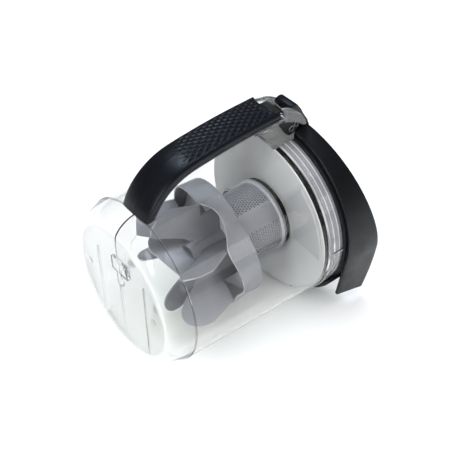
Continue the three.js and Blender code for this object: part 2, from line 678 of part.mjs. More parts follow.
// ---- the assembly ----
part("dust_cup", dustCup(), clear());
part("handle_upper_shell", handleShell(upperShellOutline(), []), black());
part("handle_lower_shell", handleShell(lowerShellOutline(), screwHoles()), black());
part("handle_front_screw", screw(FRONT_SCREW, 1.8), steel());
part("handle_rear_screw", screw(REAR_SCREW, 1.8), steel());
part("latch_bracket", latchBracket(), clear());
part("latch_pivot_pin", crossPin(HOOK_PIN, 12.9, PIN_R), steel());
part("hook_stop_pin", crossPin(STOP_PIN, 12.9, PIN_R), steel());
part("button_spring", coil(SPRING_X, 84.6, 96.2, 2.6, 0.45, 5), steel());
part("release_button", releaseButton(), smoky());
part("button_plunger", buttonPlunger(), black());
part("latch_hook", latchHook(), black());

part("lid_frame", lidFrame(), grey());
part("swirl_ramp", swirlRamp(), grey());
part("lid_gasket", tube(158.9, 162.6, GROOVE_R + GAP, 76.5), rubber());
part("lid_ring", lidRing(), black());
part("lid_hood", lidHood(), black());
part("spine_block", spineBlock(), black());
part("guide_tab_left", guideTab(1), black());
part("guide_tab_right", guideTab(-1), black());
part("lid_back_cover", backCover(), black());
part("outlet_grille", outletGrille(), black());
part("filter_foam", filterFoam(), foam());
part("inlet_duct", inletDuct(), grey());
part("inlet_seal", inletSeal(), rubber());
boltCircle.forEach((at, k) => part(`lid_screw_${k + 1}`, lidScrew(at), steel()));

part("grille_cylinder", grilleCylinder(), grey());
part("lobed_skirt", lobedSkirt(), grey());
part("vane_star", vaneStar(), grey());
part("bayonet_collar", bayonetCollar(), grey());
part("cyclone_seal", cycloneSeal(), rubber());

// The bin stands on z = 0 with the origin under the middle of its box.
bin.rotation.y = -PITCH;
const model = new THREE.Group();
model.add(bin);
model.updateMatrixWorld(true);
const box = new THREE.Box3().setFromObject(model, true);
const middle = box.getCenter(new THREE.Vector3());
bin.position.set(-middle.x, -middle.y, -box.min.z);

export default model;
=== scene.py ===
"""The looks of a canister vacuum cleaner's cyclone dust bin, lying on its side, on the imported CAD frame.

Shapes are made in millimetres in the bin's own axes, +X along the cup's axis from its base to the lid and
+Z towards the handle, and are placed in the frame by BIN. Angles round the axis go from +Z towards -Y.
_X names are positions along the axis, and _R names are radii.
"""

import json
from math import cos, degrees, hypot, pi, radians, sin, sqrt, tau

import bmesh
import bpy
from mathutils import Matrix, Vector


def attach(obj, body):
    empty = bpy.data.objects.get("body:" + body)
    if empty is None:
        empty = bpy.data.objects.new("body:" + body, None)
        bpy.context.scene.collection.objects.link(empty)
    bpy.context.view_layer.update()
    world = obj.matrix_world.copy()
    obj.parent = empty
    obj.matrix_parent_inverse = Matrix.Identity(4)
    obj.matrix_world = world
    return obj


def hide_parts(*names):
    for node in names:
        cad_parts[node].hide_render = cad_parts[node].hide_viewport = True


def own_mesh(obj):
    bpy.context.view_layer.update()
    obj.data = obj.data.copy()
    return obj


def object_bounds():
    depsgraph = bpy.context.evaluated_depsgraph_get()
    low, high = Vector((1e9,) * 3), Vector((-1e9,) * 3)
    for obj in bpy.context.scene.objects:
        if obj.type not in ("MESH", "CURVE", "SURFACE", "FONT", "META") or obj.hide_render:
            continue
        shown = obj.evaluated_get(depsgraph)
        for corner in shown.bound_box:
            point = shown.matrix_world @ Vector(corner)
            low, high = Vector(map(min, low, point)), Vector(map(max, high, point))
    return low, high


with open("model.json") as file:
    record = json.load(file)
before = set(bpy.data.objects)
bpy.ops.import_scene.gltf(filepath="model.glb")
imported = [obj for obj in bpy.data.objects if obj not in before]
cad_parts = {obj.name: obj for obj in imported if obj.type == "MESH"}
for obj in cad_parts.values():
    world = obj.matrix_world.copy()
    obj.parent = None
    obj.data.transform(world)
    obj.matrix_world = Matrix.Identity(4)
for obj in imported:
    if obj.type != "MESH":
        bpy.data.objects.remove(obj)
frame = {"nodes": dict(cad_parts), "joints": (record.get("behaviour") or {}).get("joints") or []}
cad_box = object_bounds()
scene = bpy.context.scene

# ---- the bin's axes in the frame ----
twist = next(j for j in frame["joints"] if j["name"] == "cyclone_twist")
AXIS = Vector(twist["axis"]).normalized()
SIDE = Vector((0, 1, 0))
UP = AXIS.cross(SIDE)
TWIST_X = 157.0
BASE = Vector(twist["pos_m"]) - AXIS * TWIST_X / 1000
BIN = Matrix.Translation(BASE) @ Matrix((AXIS, SIDE, UP)).transposed().to_4x4() @ Matrix.Scale(0.001, 4)

# ---- sizes, in millimetres ----
BASE_R = 60.5
STEP_X, STEP_R = 22.2, 76
WALL_END_X, WALL_END_R = 161, 79
RIM_R, RIM_END_X = 80, 176.8
CUP_WALL = 2.2
INSIDE_X = CUP_WALL - 0.6  # where details on the base's inner face start, within its wall
FOOT_X, FOOT_END_X, FOOT_Y, FOOT_HALF = 164, 175, 27, 4
GAP = 0.3

HANDLE_PATH = [(20, 69), (26, 82), (34, 92.5), (45, 101.2), (60, 107.8), (90, 112.2), (125, 114.8),
               (162, 115.6)]
HANDLE_HALF = 17.5
NOSE_X, NOSE_R = 182.4, 30
GRIP_START_X = 62
DIMPLE_ALONG, DIMPLE_ACROSS, DIMPLE_DEPTH = 8.6, 5.2, 0.7

HOOD_X, HOOD_R, HOOD_REAR_R, HOOD_BULGE, HOOD_WALL, HOOD_ARC = 180.1, 84.5, 87, 1.2, 3.1, radians(98)
LEG_HALF, LEG_FRONT_Z, LEG_REAR_Z = 73, -63.6, -72.5
PLATE_X, PLATE_END_X = 157.2, 159.6
PLATE_R, COLLAR_R, GROOVE_R = 76.2, 75.2, 73.6
LID_END_X, RING_R = 186.2, 80.6
COVER_X, COVER_END_X = 186.6, 189.2
OUTLET_R, HOUSING_R = 27, 32
SPOKES, HUB_R = 10, 9
INLET_R, INLET_WALL, INLET_AT = 13, 1.8, (49.6, -23)
SCREW_RING_R, SCREW_ANGLES = 63, (40, 140, 220, 320)

SKIRT_X, SKIRT_END_X = 87, 108
FRONT_LOBES, FRONT_TIP_R, FRONT_SCALLOP = (-38, 24, 104, 138, 200, 262), 56.8, 0.0028
REAR_LOBES, REAR_TIP_R, REAR_SCALLOP = (-42, 112, 190, 258), 55.5, 0.0006
GRILLE_R, GRILLE_END_X = 31.5, 152
VANE_R, VANE_WALL, VANE_END_X = 55, 1.8, SKIRT_END_X - 2.5
VANES = ((-4, 55), (64, 55), (129, 61), (180, 57.4), (245, 55), (304, 55))
CROSS_WEB_ANGLE = 275
VANE_FRONT = [(80.6, 2), (78, 9.4), (73.4, 14.8), (60, 23.4), (46, 31.4), (39.4, 36), (37.2, 40.6), (38, 45),
              (42.4, 50), (50, 53.8), (60, VANE_R)]
CROSS_WEB_FRONT = [(51.5, -19), (48.6, 13), (47.4, 19), (47.8, 24), (50.2, 29.5), (54, 34), (60, 37),
                   (82, 37)]
HOLE_PITCH, HOLE_R = 2.7, 0.98
GRILLE_ZONES = ((-75, 28), (60, 118), (150, 250))


# ---- outlines ----
def lerp(a, b, t):
    return a + (b - a) * t


def clamp(v, low=0.0, high=1.0):
    return max(low, min(high, v))


def smooth(t):
    t = clamp(t)
    return t * t * (3 - 2 * t)


def spline(points, per=8):
    """Points of a centripetal Catmull-Rom spline through points, per of them to each span."""
    p = [Vector(q) for q in points]
    p = [2 * p[0] - p[1], *p, 2 * p[-1] - p[-2]]
    out = []
    for i in range(1, len(p) - 2):
        q = p[i - 1 : i + 3]
        t = [0.0]
        for a, b in zip(q, q[1:]):
            t.append(t[-1] + max((b - a).length, 1e-6) ** 0.5)
        for k in range(per):
            u = lerp(t[1], t[2], k / per)
            a = [q[j].lerp(q[j + 1], (u - t[j]) / (t[j + 1] - t[j])) for j in range(3)]
            b = [a[j].lerp(a[j + 1], (u - t[j]) / (t[j + 2] - t[j])) for j in range(2)]
            out.append(tuple(b[0].lerp(b[1], (u - t[1]) / (t[2] - t[1]))))
    return [*out, tuple(p[-2])]


def mirrored(half):
    """The points of half, whose first numbers rise to 0, and their mirror images."""
    return [*half, *[(-y, n) for y, n in reversed(half) if y != 0]]


def rounded(points, radius, steps=4):
    """A closed outline with its corners rounded. radius is one number, or one for each corner."""
    radii = radius if isinstance(radius, (list, tuple)) else [radius] * len(points)
    out = []
    for i, r in enumerate(radii):
        a, b, c = (Vector(points[j % len(points)]) for j in (i - 1, i, i + 1))
        u, v = a - b, c - b
        turn = pi - u.angle(v, 0) if u.length and v.length else 0
        if r <= 0 or turn < radians(12):
            out.append(tuple(b))
            continue
        back = min(r * abs(sin(turn / 2) / cos(turn / 2)), 0.46 * u.length, 0.46 * v.length)
        p, q = b + u.normalized() * back, b + v.normalized() * back
        for k in range(steps + 1):
            t = k / steps
            out.append(tuple(p.lerp(b, t).lerp(b.lerp(q, t), t)))
    return out


def height_at(line, x):
    """The second number at x on a line of points whose first numbers rise."""
    for (x0, z0), (x1, z1) in zip(line, line[1:]):
        if x <= x1:
            return lerp(z0, z1, clamp((x - x0) / (x1 - x0)))
    return line[-1][1]


# ---- shapes: (points, faces) ----
def merged(*shapes):
    points, faces = [], []
    for p, f in shapes:
        faces += [[i + len(points) for i in face] for face in f]
        points += p
    return points, faces


def mapped(shape, change):
    return [change(*p) for p in shape[0]], shape[1]


def shifted(shape, x=0.0, y=0.0, z=0.0):
    return mapped(shape, lambda a, b, c: (a + x, b + y, c + z))


def spun(shape, angle):
    """shape turned about the X axis, from +Z towards -Y."""
    c, s = cos(angle), sin(angle)
    return mapped(shape, lambda x, y, z: (x, y * c - z * s, y * s + z * c))


def grid(rows, closed=False, ends=False):
    """Faces between equal rows of points. closed joins each row's ends. ends caps the first and last rows."""
    n = len(rows[0])
    points = [p for row in rows for p in row]
    faces = []
    for i in range(len(rows) - 1):
        for j in range(n if closed else n - 1):
            k = (j + 1) % n
            faces.append([i * n + j, i * n + k, (i + 1) * n + k, (i + 1) * n + j])
    if ends:
        faces += [list(range(n))[::-1], list(range(len(points) - n, len(points)))]
    return points, faces


def lathe(outline, segments=192, wave=None):
    """A closed outline of (x, r) turned about the X axis. wave(x, r, angle) may change the radius."""
    wave = wave or (lambda x, r, a: r)
    points, index = [], []
    for x, r in outline:
        if r < 1e-6:
            index.append([len(points)] * segments)
            points.append((x, 0, 0))
            continue
        index.append(list(range(len(points), len(points) + segments)))
        for k in range(segments):
            a = tau * k / segments
            q = wave(x, r, a)
            points.append((x, -q * sin(a), q * cos(a)))
    faces = []
    for i in range(len(outline)):
        a, b = index[i], index[(i + 1) % len(outline)]
        if a[0] == a[1] and b[0] == b[1]:
            continue
        for k in range(segments):
            m = (k + 1) % segments
            face = [a[k], a[m], b[m], b[k]]
            faces.append([v for j, v in enumerate(face) if v != face[j - 1]])
    return points, faces


def tube(x0, x1, inner, outer, edge=0.4, segments=192):
    return lathe(rounded([(x0, inner), (x0, outer), (x1, outer), (x1, inner)], edge, 3), segments)


def rod(x0, x1, r, edge=0.3, segments=48):
    corners = [(x0, 0), (x0, r), (x1, r), (x1, 0)]
    return lathe(rounded(corners, [0, edge, edge, 0], 3), segments)


def inset(outline, by):
    """A closed outline moved inwards by by."""
    n = len(outline)
    area = sum(outline[i - 1][0] * outline[i][1] - outline[i][0] * outline[i - 1][1] for i in range(n))
    side = 1 if area > 0 else -1
    out = []
    for i in range(n):
        a, b, c = (Vector(outline[j % n]) for j in (i - 1, i, i + 1))
        u, v = (b - a).normalized(), (c - b).normalized()
        m = Vector((-(u + v)[1], (u + v)[0]))
        m = m.normalized() if m.length > 1e-6 else Vector((-u[1], u[0]))
        out.append(tuple(b + m * side * by / max(0.5, abs(m.dot(Vector((-u[1], u[0])))))))
    return out


def slab(outline, low, high, edge=0.5, place=None):
    """A closed outline given thickness from low to high, with softened edges. place turns (u, v, w), with w
    along the thickness, into (x, y, z). Without it the outline is in (x, z) and the thickness along Y."""
    place = place or (lambda u, v, w: (u, w, v))
    tight = inset(outline, edge)
    mid = inset(outline, edge * 0.3)
    levels = [(tight, low), (mid, low + edge * 0.3), (outline, low + edge), (outline, high - edge),
              (mid, high - edge * 0.3), (tight, high)]
    return grid([[place(u, v, w) for u, v in line] for line, w in levels], closed=True, ends=True)


def facing(u, v, w):
    """For slab: the outline is in (y, z) and the thickness along X."""
    return w, u, v


def lying(u, v, w):
    """For slab: the outline is in (x, y) and the thickness along Z."""
    return u, v, w


def box(x0, x1, y0, y1, z0, z1, edge=0.4):
    return slab(rounded([(x0, z0), (x1, z0), (x1, z1), (x0, z1)], 1.6 * edge, 3), y0, y1, edge)


def helix(x, z0, z1, r, wire, turns):
    per, sides = 28, 10
    rows = []
    steps = turns * per
    for i in range(steps + 1):
        a = tau * turns * i / steps
        rows.append([(x + (r + wire * cos(b)) * cos(a), (r + wire * cos(b)) * sin(a),
                      lerp(z0 + wire, z1 - wire, i / steps) + wire * sin(b))
                     for b in (tau * k / sides for k in range(sides))])
    return grid(rows, closed=True, ends=True)


# ---- objects ----
SHARP = radians(34)  # the turn at an edge where smooth shading ends


def combined(shape, other, operation):
    """shape joined with or cut by another closed shape."""
    objects = []
    for s in (shape, other):
        obj = bpy.data.objects.new("scratch", solid_mesh(s))
        scene.collection.objects.link(obj)
        objects.append(obj)
    body, tool = objects
    modifier = body.modifiers.new("cut", "BOOLEAN")
    modifier.operation, modifier.solver, modifier.object = operation, "EXACT", tool
    made = body.evaluated_get(bpy.context.evaluated_depsgraph_get()).to_mesh()
    result = [tuple(v.co) for v in made.vertices], [list(f.vertices) for f in made.polygons]
    for obj in objects:
        bpy.data.objects.remove(obj)
    return result


def solid_mesh(shape):
    """A mesh of shape, in millimetres, with doubled points merged and faces turned outwards."""
    mesh = bpy.data.meshes.new("solid")
    mesh.from_pydata(shape[0], [], shape[1])
    bm = bmesh.new()
    bm.from_mesh(mesh)
    bmesh.ops.remove_doubles(bm, verts=bm.verts, dist=1e-4)
    bmesh.ops.recalc_face_normals(bm, faces=bm.faces)
    bm.to_mesh(mesh)
    bm.free()
    return mesh


def piece(name, shape, material, body, nodes=()):
    """An object of that shape which rides on a body and stands for CAD nodes."""
    mesh = solid_mesh(shape)
    mesh.transform(BIN)
    mesh.name = name
    bm = bmesh.new()
    bm.from_mesh(mesh)
    for face in bm.faces:
        face.smooth = True
    for edge in bm.edges:
        edge.smooth = len(edge.link_faces) == 2 and edge.calc_face_angle(pi) < SHARP
    bm.to_mesh(mesh)
    bm.free()
    mesh.materials.append(material)
    obj = bpy.data.objects.new(name, mesh)
    scene.collection.objects.link(obj)
    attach(obj, body)
    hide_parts(*nodes)
    return obj


def kept(node, material, bevel):
    """A CAD node that stays, with softened edges and a finished material."""
    obj = frame["nodes"][node]
    obj.data.materials.clear()
    obj.data.materials.append(material)
    for polygon in obj.data.polygons:
        polygon.use_smooth = False
    obj.modifiers.new("joined", "WELD").merge_threshold = 1e-6
    modifier = obj.modifiers.new("edges", "BEVEL")
    modifier.width, modifier.segments = bevel / 1000, 2
    modifier.limit_method, modifier.angle_limit = "ANGLE", radians(35)


# ---- materials ----
class Finish:
    """A node material around one Principled shader, with its texture in the object's own coordinates."""

    def __init__(self, name, color, roughness, **sockets):
        self.material = bpy.data.materials.new(name)
        self.material.use_nodes = True
        self.tree = self.material.node_tree
        self.shader = next(n for n in self.tree.nodes if n.type == "BSDF_PRINCIPLED")
        self.output = next(n for n in self.tree.nodes if n.type == "OUTPUT_MATERIAL")
        self.place = self.tree.nodes.new("ShaderNodeTexCoord").outputs["Object"]
        self.set(self.shader, **{"Base Color": color, "Roughness": roughness, **sockets})
        self.normal = None

    def set(self, node, **values):
        for key, value in values.items():
            self.feed(node.inputs[key], value)

    def feed(self, socket, value):
        """Link value to socket if it is a socket too, and else set it."""
        if isinstance(value, bpy.types.NodeSocket):
            self.tree.links.new(value, socket)
        else:
            socket.default_value = value if socket.type != "RGBA" else (*value[:3], 1)

    def noise(self, scale, detail=3.0, stretch=None):
        node = self.tree.nodes.new("ShaderNodeTexNoise")
        where = self.place
        if stretch:
            mapping = self.tree.nodes.new("ShaderNodeMapping")
            self.set(mapping, Vector=where, Scale=stretch)
            where = mapping.outputs[0]
        self.set(node, Vector=where, Scale=scale, Detail=detail)
        return node.outputs["Fac"]

    def cells(self, scale):
        node = self.tree.nodes.new("ShaderNodeTexVoronoi")
        self.set(node, Vector=self.place, Scale=scale)
        return node.outputs["Distance"]

    def ranged(self, value, low, high, start=0.3, end=0.7):
        node = self.tree.nodes.new("ShaderNodeMapRange")
        self.set(node, Value=value, **{"From Min": start, "From Max": end, "To Min": low, "To Max": high})
        return node.outputs[0]

    def mixed(self, share, low, high):
        """A colour between low and high, which are colours or sockets."""
        node = self.tree.nodes.new("ShaderNodeMix")
        node.data_type = "RGBA"
        for socket, value in zip([s for s in node.inputs if s.type == "RGBA"], (low, high)):
            self.feed(socket, value)
        self.tree.links.new(share, node.inputs[0])
        return next(s for s in node.outputs if s.type == "RGBA")

    def tinted(self, value, low, high):
        """A colour between low and high as value goes from 0.3 to 0.7."""
        return self.mixed(self.ranged(value, 0, 1), low, high)

    def towards_lid(self, vector):
        """How far a vector runs along the cup's axis."""
        node = self.tree.nodes.new("ShaderNodeVectorMath")
        node.operation = "DOT_PRODUCT"
        self.tree.links.new(vector, node.inputs[0])
        node.inputs[1].default_value = AXIS
        return node.outputs["Value"]

    def along(self, start, end):
        """0 before start and 1 after end, in millimetres along the cup's axis."""
        here = BASE.dot(AXIS)
        return self.ranged(self.towards_lid(self.place), 0, 1, here + start / 1000, here + end / 1000)

    def front_highlight_mask(self):
        """1 on faces that look towards the cup's base, and 0 on all others: where a painted highlight goes.
        """
        normal = self.place.node.outputs["Normal"]
        return self.ranged(self.towards_lid(normal), 1, 0, -0.8, -0.45)

    def bump(self, height, distance):
        """Relief, distance metres deep, over any relief before it."""
        node = self.tree.nodes.new("ShaderNodeBump")
        self.set(node, Height=height, Distance=distance, Strength=1.0)
        if self.normal:
            self.set(node, Normal=self.normal)
        self.normal = node.outputs[0]
        self.set(self.shader, Normal=self.normal)
        return self

    def color(self, value):
        self.set(self.shader, **{"Base Color": value})
        return self

    def rough(self, value):
        self.set(self.shader, Roughness=value)
        return self


def moulded(name, dark, light, rough, grain, grain_depth, front=None, specular=0.5):
    """Moulded plastic: slow colour drift, fine spark-eroded grain, and faint rubbed streaks in its gloss.
    front is a lighter colour for faces that look towards the cup's base, a painted highlight on their lips
    and edges."""
    f = Finish(name, light, sum(rough) / 2, **{"Specular IOR Level": specular})
    drift = f.tinted(f.noise(28, 4), dark, light)
    # faces towards the cup's base get front, a painted highlight
    f.color(f.mixed(f.front_highlight_mask(), drift, front) if front else drift)
    f.rough(f.ranged(f.noise(75, 5, (1, 1.6, 0.7)), *rough))
    f.bump(f.noise(grain, 2), grain_depth).bump(f.noise(grain / 14, 3), grain_depth * 1.6)
    return f.material


def glassy(name, tint, shadow, rough, start=None, start_ends=(0, 1), through=1.0):
    """Clear moulded plastic, faintly uneven, that lamps shine through. through is how clear it is. start is
    the tint and roughness of a part which ends between start_ends, in millimetres: wholly clear, or greyer as
    painted shade."""
    sheen = (0.4, 0.4, 0.4)
    f = Finish(name, tint, rough[0], **{"Transmission Weight": through, "IOR": 1.47, "Specular Tint": sheen})
    color = f.tinted(f.noise(14, 2), [c * 0.985 for c in tint], tint)
    gloss = f.ranged(f.noise(55, 4), *rough)
    if start:
        past = f.along(*start_ends)
        color = f.mixed(past, start[0], color)
        blend = f.tree.nodes.new("ShaderNodeMix")
        f.tree.links.new(past, blend.inputs[0])
        blend.inputs[2].default_value = start[1]
        f.tree.links.new(gloss, blend.inputs[3])
        gloss = blend.outputs[0]
        if through < 1:
            f.set(f.shader, **{"Transmission Weight": f.ranged(past, 1.0, through, 0, 1)})
    f.color(color).rough(gloss)
    f.bump(f.noise(22, 2), 0.00006).bump(f.noise(260, 2), 0.000004)
    nodes, links = f.tree.nodes, f.tree.links
    passed = nodes.new("ShaderNodeBsdfTransparent")
    passed.inputs["Color"].default_value = (*shadow, 1)
    path, mix = nodes.new("ShaderNodeLightPath"), nodes.new("ShaderNodeMixShader")
    links.new(path.outputs["Is Shadow Ray"], mix.inputs[0])
    links.new(f.shader.outputs[0], mix.inputs[1])
    links.new(passed.outputs[0], mix.inputs[2])
    links.new(mix.outputs[0], f.output.inputs["Surface"])
    return f.material


# Name, tint, tint of the lamps' light behind it, range of roughness, then start and start_ends.
# The cup's start is its base face, greyer than the walls as painted shade.
CLEAR = glassy("clear_plastic", (0.935, 0.932, 0.922), (0.93, 0.94, 0.925), (0.012, 0.04),
               ((0.665, 0.66, 0.635), 0.13), (0.3, 0.8))
CLEAR_BRACKET = glassy("clear_bracket", (0.6, 0.6, 0.59), (0.88, 0.89, 0.88), (0.03, 0.09), through=0.86)
SMOKY = glassy("smoky_plastic", (0.33, 0.335, 0.33), (0.45, 0.46, 0.45), (0.1, 0.18),
               ((0.9, 0.905, 0.9), 0.05), (164, 169), through=0.7)

# Name, dark and light colour, range of roughness, the grain's scale and its depth in metres, and for some a
# painted highlight colour for faces towards the cup's base.
GRIP = moulded("grip_plastic", (0.0022, 0.0028, 0.0045), (0.0034, 0.0042, 0.0068), (0.27, 0.38), 2600,
               0.00004, specular=0.3)
HOOD = moulded("hood_plastic", (0.0016, 0.002, 0.0028), (0.0024, 0.003, 0.0042), (0.42, 0.54), 1700, 0.00007,
              specular=0.42)
PLAIN = moulded("black_plastic", (0.004, 0.005, 0.0062), (0.006, 0.007, 0.009), (0.4, 0.52), 1900, 0.00004,
                specular=0.3)
TRIM = moulded("handle_trim", (0.03, 0.033, 0.038), (0.037, 0.04, 0.046), (0.34, 0.46), 2200, 0.00003)
# its last colour is a painted highlight on faces towards the cup's base
GREY = moulded("grey_plastic", (0.19, 0.192, 0.213), (0.22, 0.222, 0.245), (0.38, 0.5), 1500, 0.00003,
               (0.5, 0.5, 0.53))
# pale lines on the grey collar: painted highlights
RIDGE_HIGHLIGHT = moulded("collar_ridges", (0.52, 0.52, 0.54), (0.6, 0.6, 0.62), (0.4, 0.5), 1500, 0.00002)
COLLAR = moulded("collar_plastic", (0.2, 0.2, 0.222), (0.23, 0.23, 0.255), (0.4, 0.5), 1500, 0.00003)
PALE = moulded("pale_plastic", (0.54, 0.54, 0.55), (0.58, 0.58, 0.59), (0.42, 0.54), 1300, 0.00003)
# darker than the plate: painted shade on the raised sector
SHADED_RAMP = moulded("ramp_painted_shade", (0.44, 0.44, 0.455), (0.47, 0.47, 0.485), (0.42, 0.54), 1300, 0.00003)
# its last colour is a painted highlight on faces towards the cup's base
VANE = moulded("vane_plastic", (0.17, 0.172, 0.195), (0.2, 0.202, 0.226), (0.34, 0.46), 1500, 0.00003,
               (0.4, 0.4, 0.42))
RUBBER = moulded("black_rubber", (0.004, 0.004, 0.004), (0.007, 0.007, 0.007), (0.62, 0.8), 900, 0.00006,
                 specular=0.15)


def steel():
    """Turned steel: fine lines from the tool and slightly clouded gloss."""
    f = Finish("turned_steel", (0.56, 0.57, 0.59), 0.3, Metallic=1.0)
    f.color(f.tinted(f.noise(120, 3), (0.5, 0.51, 0.53), (0.62, 0.63, 0.65)))
    f.rough(f.ranged(f.noise(400, 3, (1, 1, 6)), 0.2, 0.38))
    return f.bump(f.noise(1400, 2, (1, 1, 8)), 0.00001).material


def foam():
    """Open-cell filter foam, its cells darkened inside as painted shade."""
    f = Finish("filter_foam", (0.07, 0.075, 0.09), 0.95)
    cells = f.cells(1100)
    # cell hollows dark and their walls light: painted shade in the pores
    f.color(f.tinted(cells, (0.02, 0.022, 0.028), (0.1, 0.105, 0.12)))
    return f.bump(cells, 0.0006).bump(f.noise(300, 4), 0.0003).material


STEEL, FOAM = steel(), foam()


# ---- dust cup ----
def base_curve(inset_by, steps=16):
    """The cup's corner, from its base to the step."""
    a = Vector((inset_by, BASE_R - inset_by * 0.4))
    b = Vector((5 + inset_by * 0.5, 71.5 - inset_by * 0.6))
    c = Vector((STEP_X, STEP_R - 0.5 - inset_by))
    return [tuple(a.lerp(b, k / steps).lerp(b.lerp(c, k / steps), k / steps)) for k in range(steps + 1)]


def wall_line(inset_by):
    """The cup's side, from the step to the rim."""
    step = STEP_X + 0.9
    line = [(STEP_X + 0.15, STEP_R - 0.1), (step, STEP_R)]
    for t in (0.02, 0.25, 0.5, 0.75, 0.98, 1):
        line.append((lerp(step, WALL_END_X, t), lerp(STEP_R, WALL_END_R, t)))
    return [(x, r - inset_by) for x, r in line]


CUP_OUTSIDE = [*base_curve(0), *wall_line(0), (WALL_END_X + 0.9, RIM_R - 0.25), (WALL_END_X + 1.5, RIM_R),
               (RIM_END_X, RIM_R)]


def cup_radius(x):
    return height_at([(-1, BASE_R), *CUP_OUTSIDE], x)


def cup_outline():
    """The cup's wall, with the rim's raised bands on its outside."""
    bore = RIM_R - CUP_WALL
    rim = [(WALL_END_X + 1.0, RIM_R - 0.2), (WALL_END_X + 1.6, RIM_R), (165.6, RIM_R), (166.0, RIM_R - 0.35),
           (166.8, RIM_R - 0.35), (167.2, RIM_R), (174.4, RIM_R), (175, RIM_R - 0.3), (176.3, RIM_R - 0.3),
           (RIM_END_X, RIM_R - 0.8)]
    lip = [(RIM_END_X, bore + 0.5), (RIM_END_X - 0.5, bore), (WALL_END_X + 1.8, bore),
           (WALL_END_X + 0.6, bore - 0.35)]
    centre = [(0, 0), (0, 30), (0, BASE_R - 3), (0.02, BASE_R - 1.6), (0.25, BASE_R - 0.6)]
    floor = [(CUP_WALL + 0.12, BASE_R - 2.6), (CUP_WALL, BASE_R - 4), (CUP_WALL, 30), (CUP_WALL, 0)]
    return [*centre, *base_curve(0)[1:], *wall_line(0), *rim, *lip, *wall_line(CUP_WALL)[::-1],
            *base_curve(CUP_WALL)[::-1][:-1], *floor]


def rest_rib(side):
    """A clear foot under the rim, whose top lies inside the rim's wall."""
    rows = []
    slope = AXIS.z / AXIS.x
    for k in range(-FOOT_HALF, FOOT_HALF + 1):
        y = side * FOOT_Y + k
        top = -sqrt((RIM_R - 1.1) ** 2 - y * y)
        ease = 0.5 if abs(k) == FOOT_HALF else 0
        low, end_low = (-STEP_R - (x - STEP_X) * slope + ease for x in (FOOT_X, FOOT_END_X))
        x0, x1 = FOOT_X + ease, FOOT_END_X - ease
        rows.append([(x0, y, top), (x1, y, top), (x1, y, end_low), (x0, y, low)])
    return grid(rows, closed=True, ends=True)


def base_web():
    """A thin web across the cup's corner, in the plane of the handle."""
    root = [(INSIDE_X, 21), *base_curve(INSIDE_X, 10), (STEP_X + 1.5, STEP_R - CUP_WALL + 0.4)]
    free = spline([(22.8, 72), (21.8, 62), (21.2, 53)], 4)
    free += spline([(20.2, 49.6), (15.2, 46.2), (12.9, 39.5), (6.6, 21)], 5)
    return slab([*root, *free], -0.7, 0.7, 0.3)


def dust_cup():
    """The cup, with ribs, a boss and marks inside its base, and feet and a stop at its rim."""
    ribs = [box(INSIDE_X, CUP_WALL + 1.3, y - 0.7, y + 0.7, -54, top, 0.25)
            for y, top in ((-35, 30), (0, 8), (30, 30))]
    boss = slab(rounded([(-13, 21), (10, 21), (10, 35), (-13, 35)], 1.5), INSIDE_X, CUP_WALL + 3, 0.5, facing)
    tongue = slab(rounded([(-4, 8), (3, 8), (3, 21.6), (-4, 21.6)], 1), INSIDE_X, CUP_WALL + 2, 0.4, facing)
    mark = rod(INSIDE_X, CUP_WALL + 0.7, 3, 0.3, 32)
    marks = [shifted(mark, 0, y, z) for y, z in ((-46, 0), (46, 2))]
    shape = lathe(cup_outline(), 224)
    stop = box(165.4, 176.2, -RIM_R - 1, -RIM_R + 1, -1.6, 1.6, 0.3)
    for detail in (*ribs, boss, tongue, *marks, base_web(), stop, rest_rib(1), rest_rib(-1)):
        shape = combined(shape, detail, "UNION")
    return shape


# ---- handle ----
class Path:
    """A smooth line in (x, z), measured along its length."""

    def __init__(self, points):
        self.points = [Vector(p) for p in spline(points, 24)]
        self.marks = [0.0]
        for a, b in zip(self.points, self.points[1:]):
            self.marks.append(self.marks[-1] + (b - a).length)
        ends = [self.points[0], *self.points, self.points[-1]]
        self.along = [(b - a).normalized() for a, b in zip(ends, ends[2:])]

    def at(self, s, n=0.0):
        """The point at length s, n off the line towards its upper side."""
        low, high = 0, len(self.marks) - 1
        while high - low > 1:
            middle = (low + high) // 2
            low, high = (middle, high) if self.marks[middle] <= s else (low, middle)
        t = (s - self.marks[low]) / (self.marks[high] - self.marks[low])
        p = self.points[low].lerp(self.points[high], t)
        a = self.along[low].lerp(self.along[high], t).normalized()
        return p.x - a.y * n, p.y + a.x * n


HANDLE = Path(HANDLE_PATH)


def crossing(inside, low, high):
    """The length between low and high where inside stops being true."""
    for _ in range(26):
        middle = (low + high) / 2
        low, high = (middle, high) if inside(middle) else (low, middle)
    return low


def in_cup(s, y, n):
    x, z = HANDLE.at(s, n)
    return hypot(y, z) < cup_radius(x) + GAP


def before_nose(s, y, n):
    return hypot(HANDLE.at(s, n)[0] - NOSE_X, y) > NOSE_R


def swept_shell(outer, inner, steps, shape=None):
    """A handle shell between two lines of (y, n), trimmed by the cup at its foot and by the button's nose.
    shape may raise the outer line."""
    loop = [*outer, *inner[::-1]]
    columns = []
    for j, (y, n) in enumerate(loop):
        start = crossing(lambda s: in_cup(s, y, n), 0, 45)
        end = crossing(lambda s: before_nose(s, y, n), 100, HANDLE.marks[-1])
        outside = j < len(outer)
        column = []
        for i in range(steps + 1):
            s = lerp(start, end, i / steps)
            rise = shape(s, y, end) if shape and outside else 0
            x, z = HANDLE.at(s, n + rise)
            column.append((x, y, z))
        columns.append(column)
    return grid([list(row) for row in zip(*columns)], closed=True, ends=True)


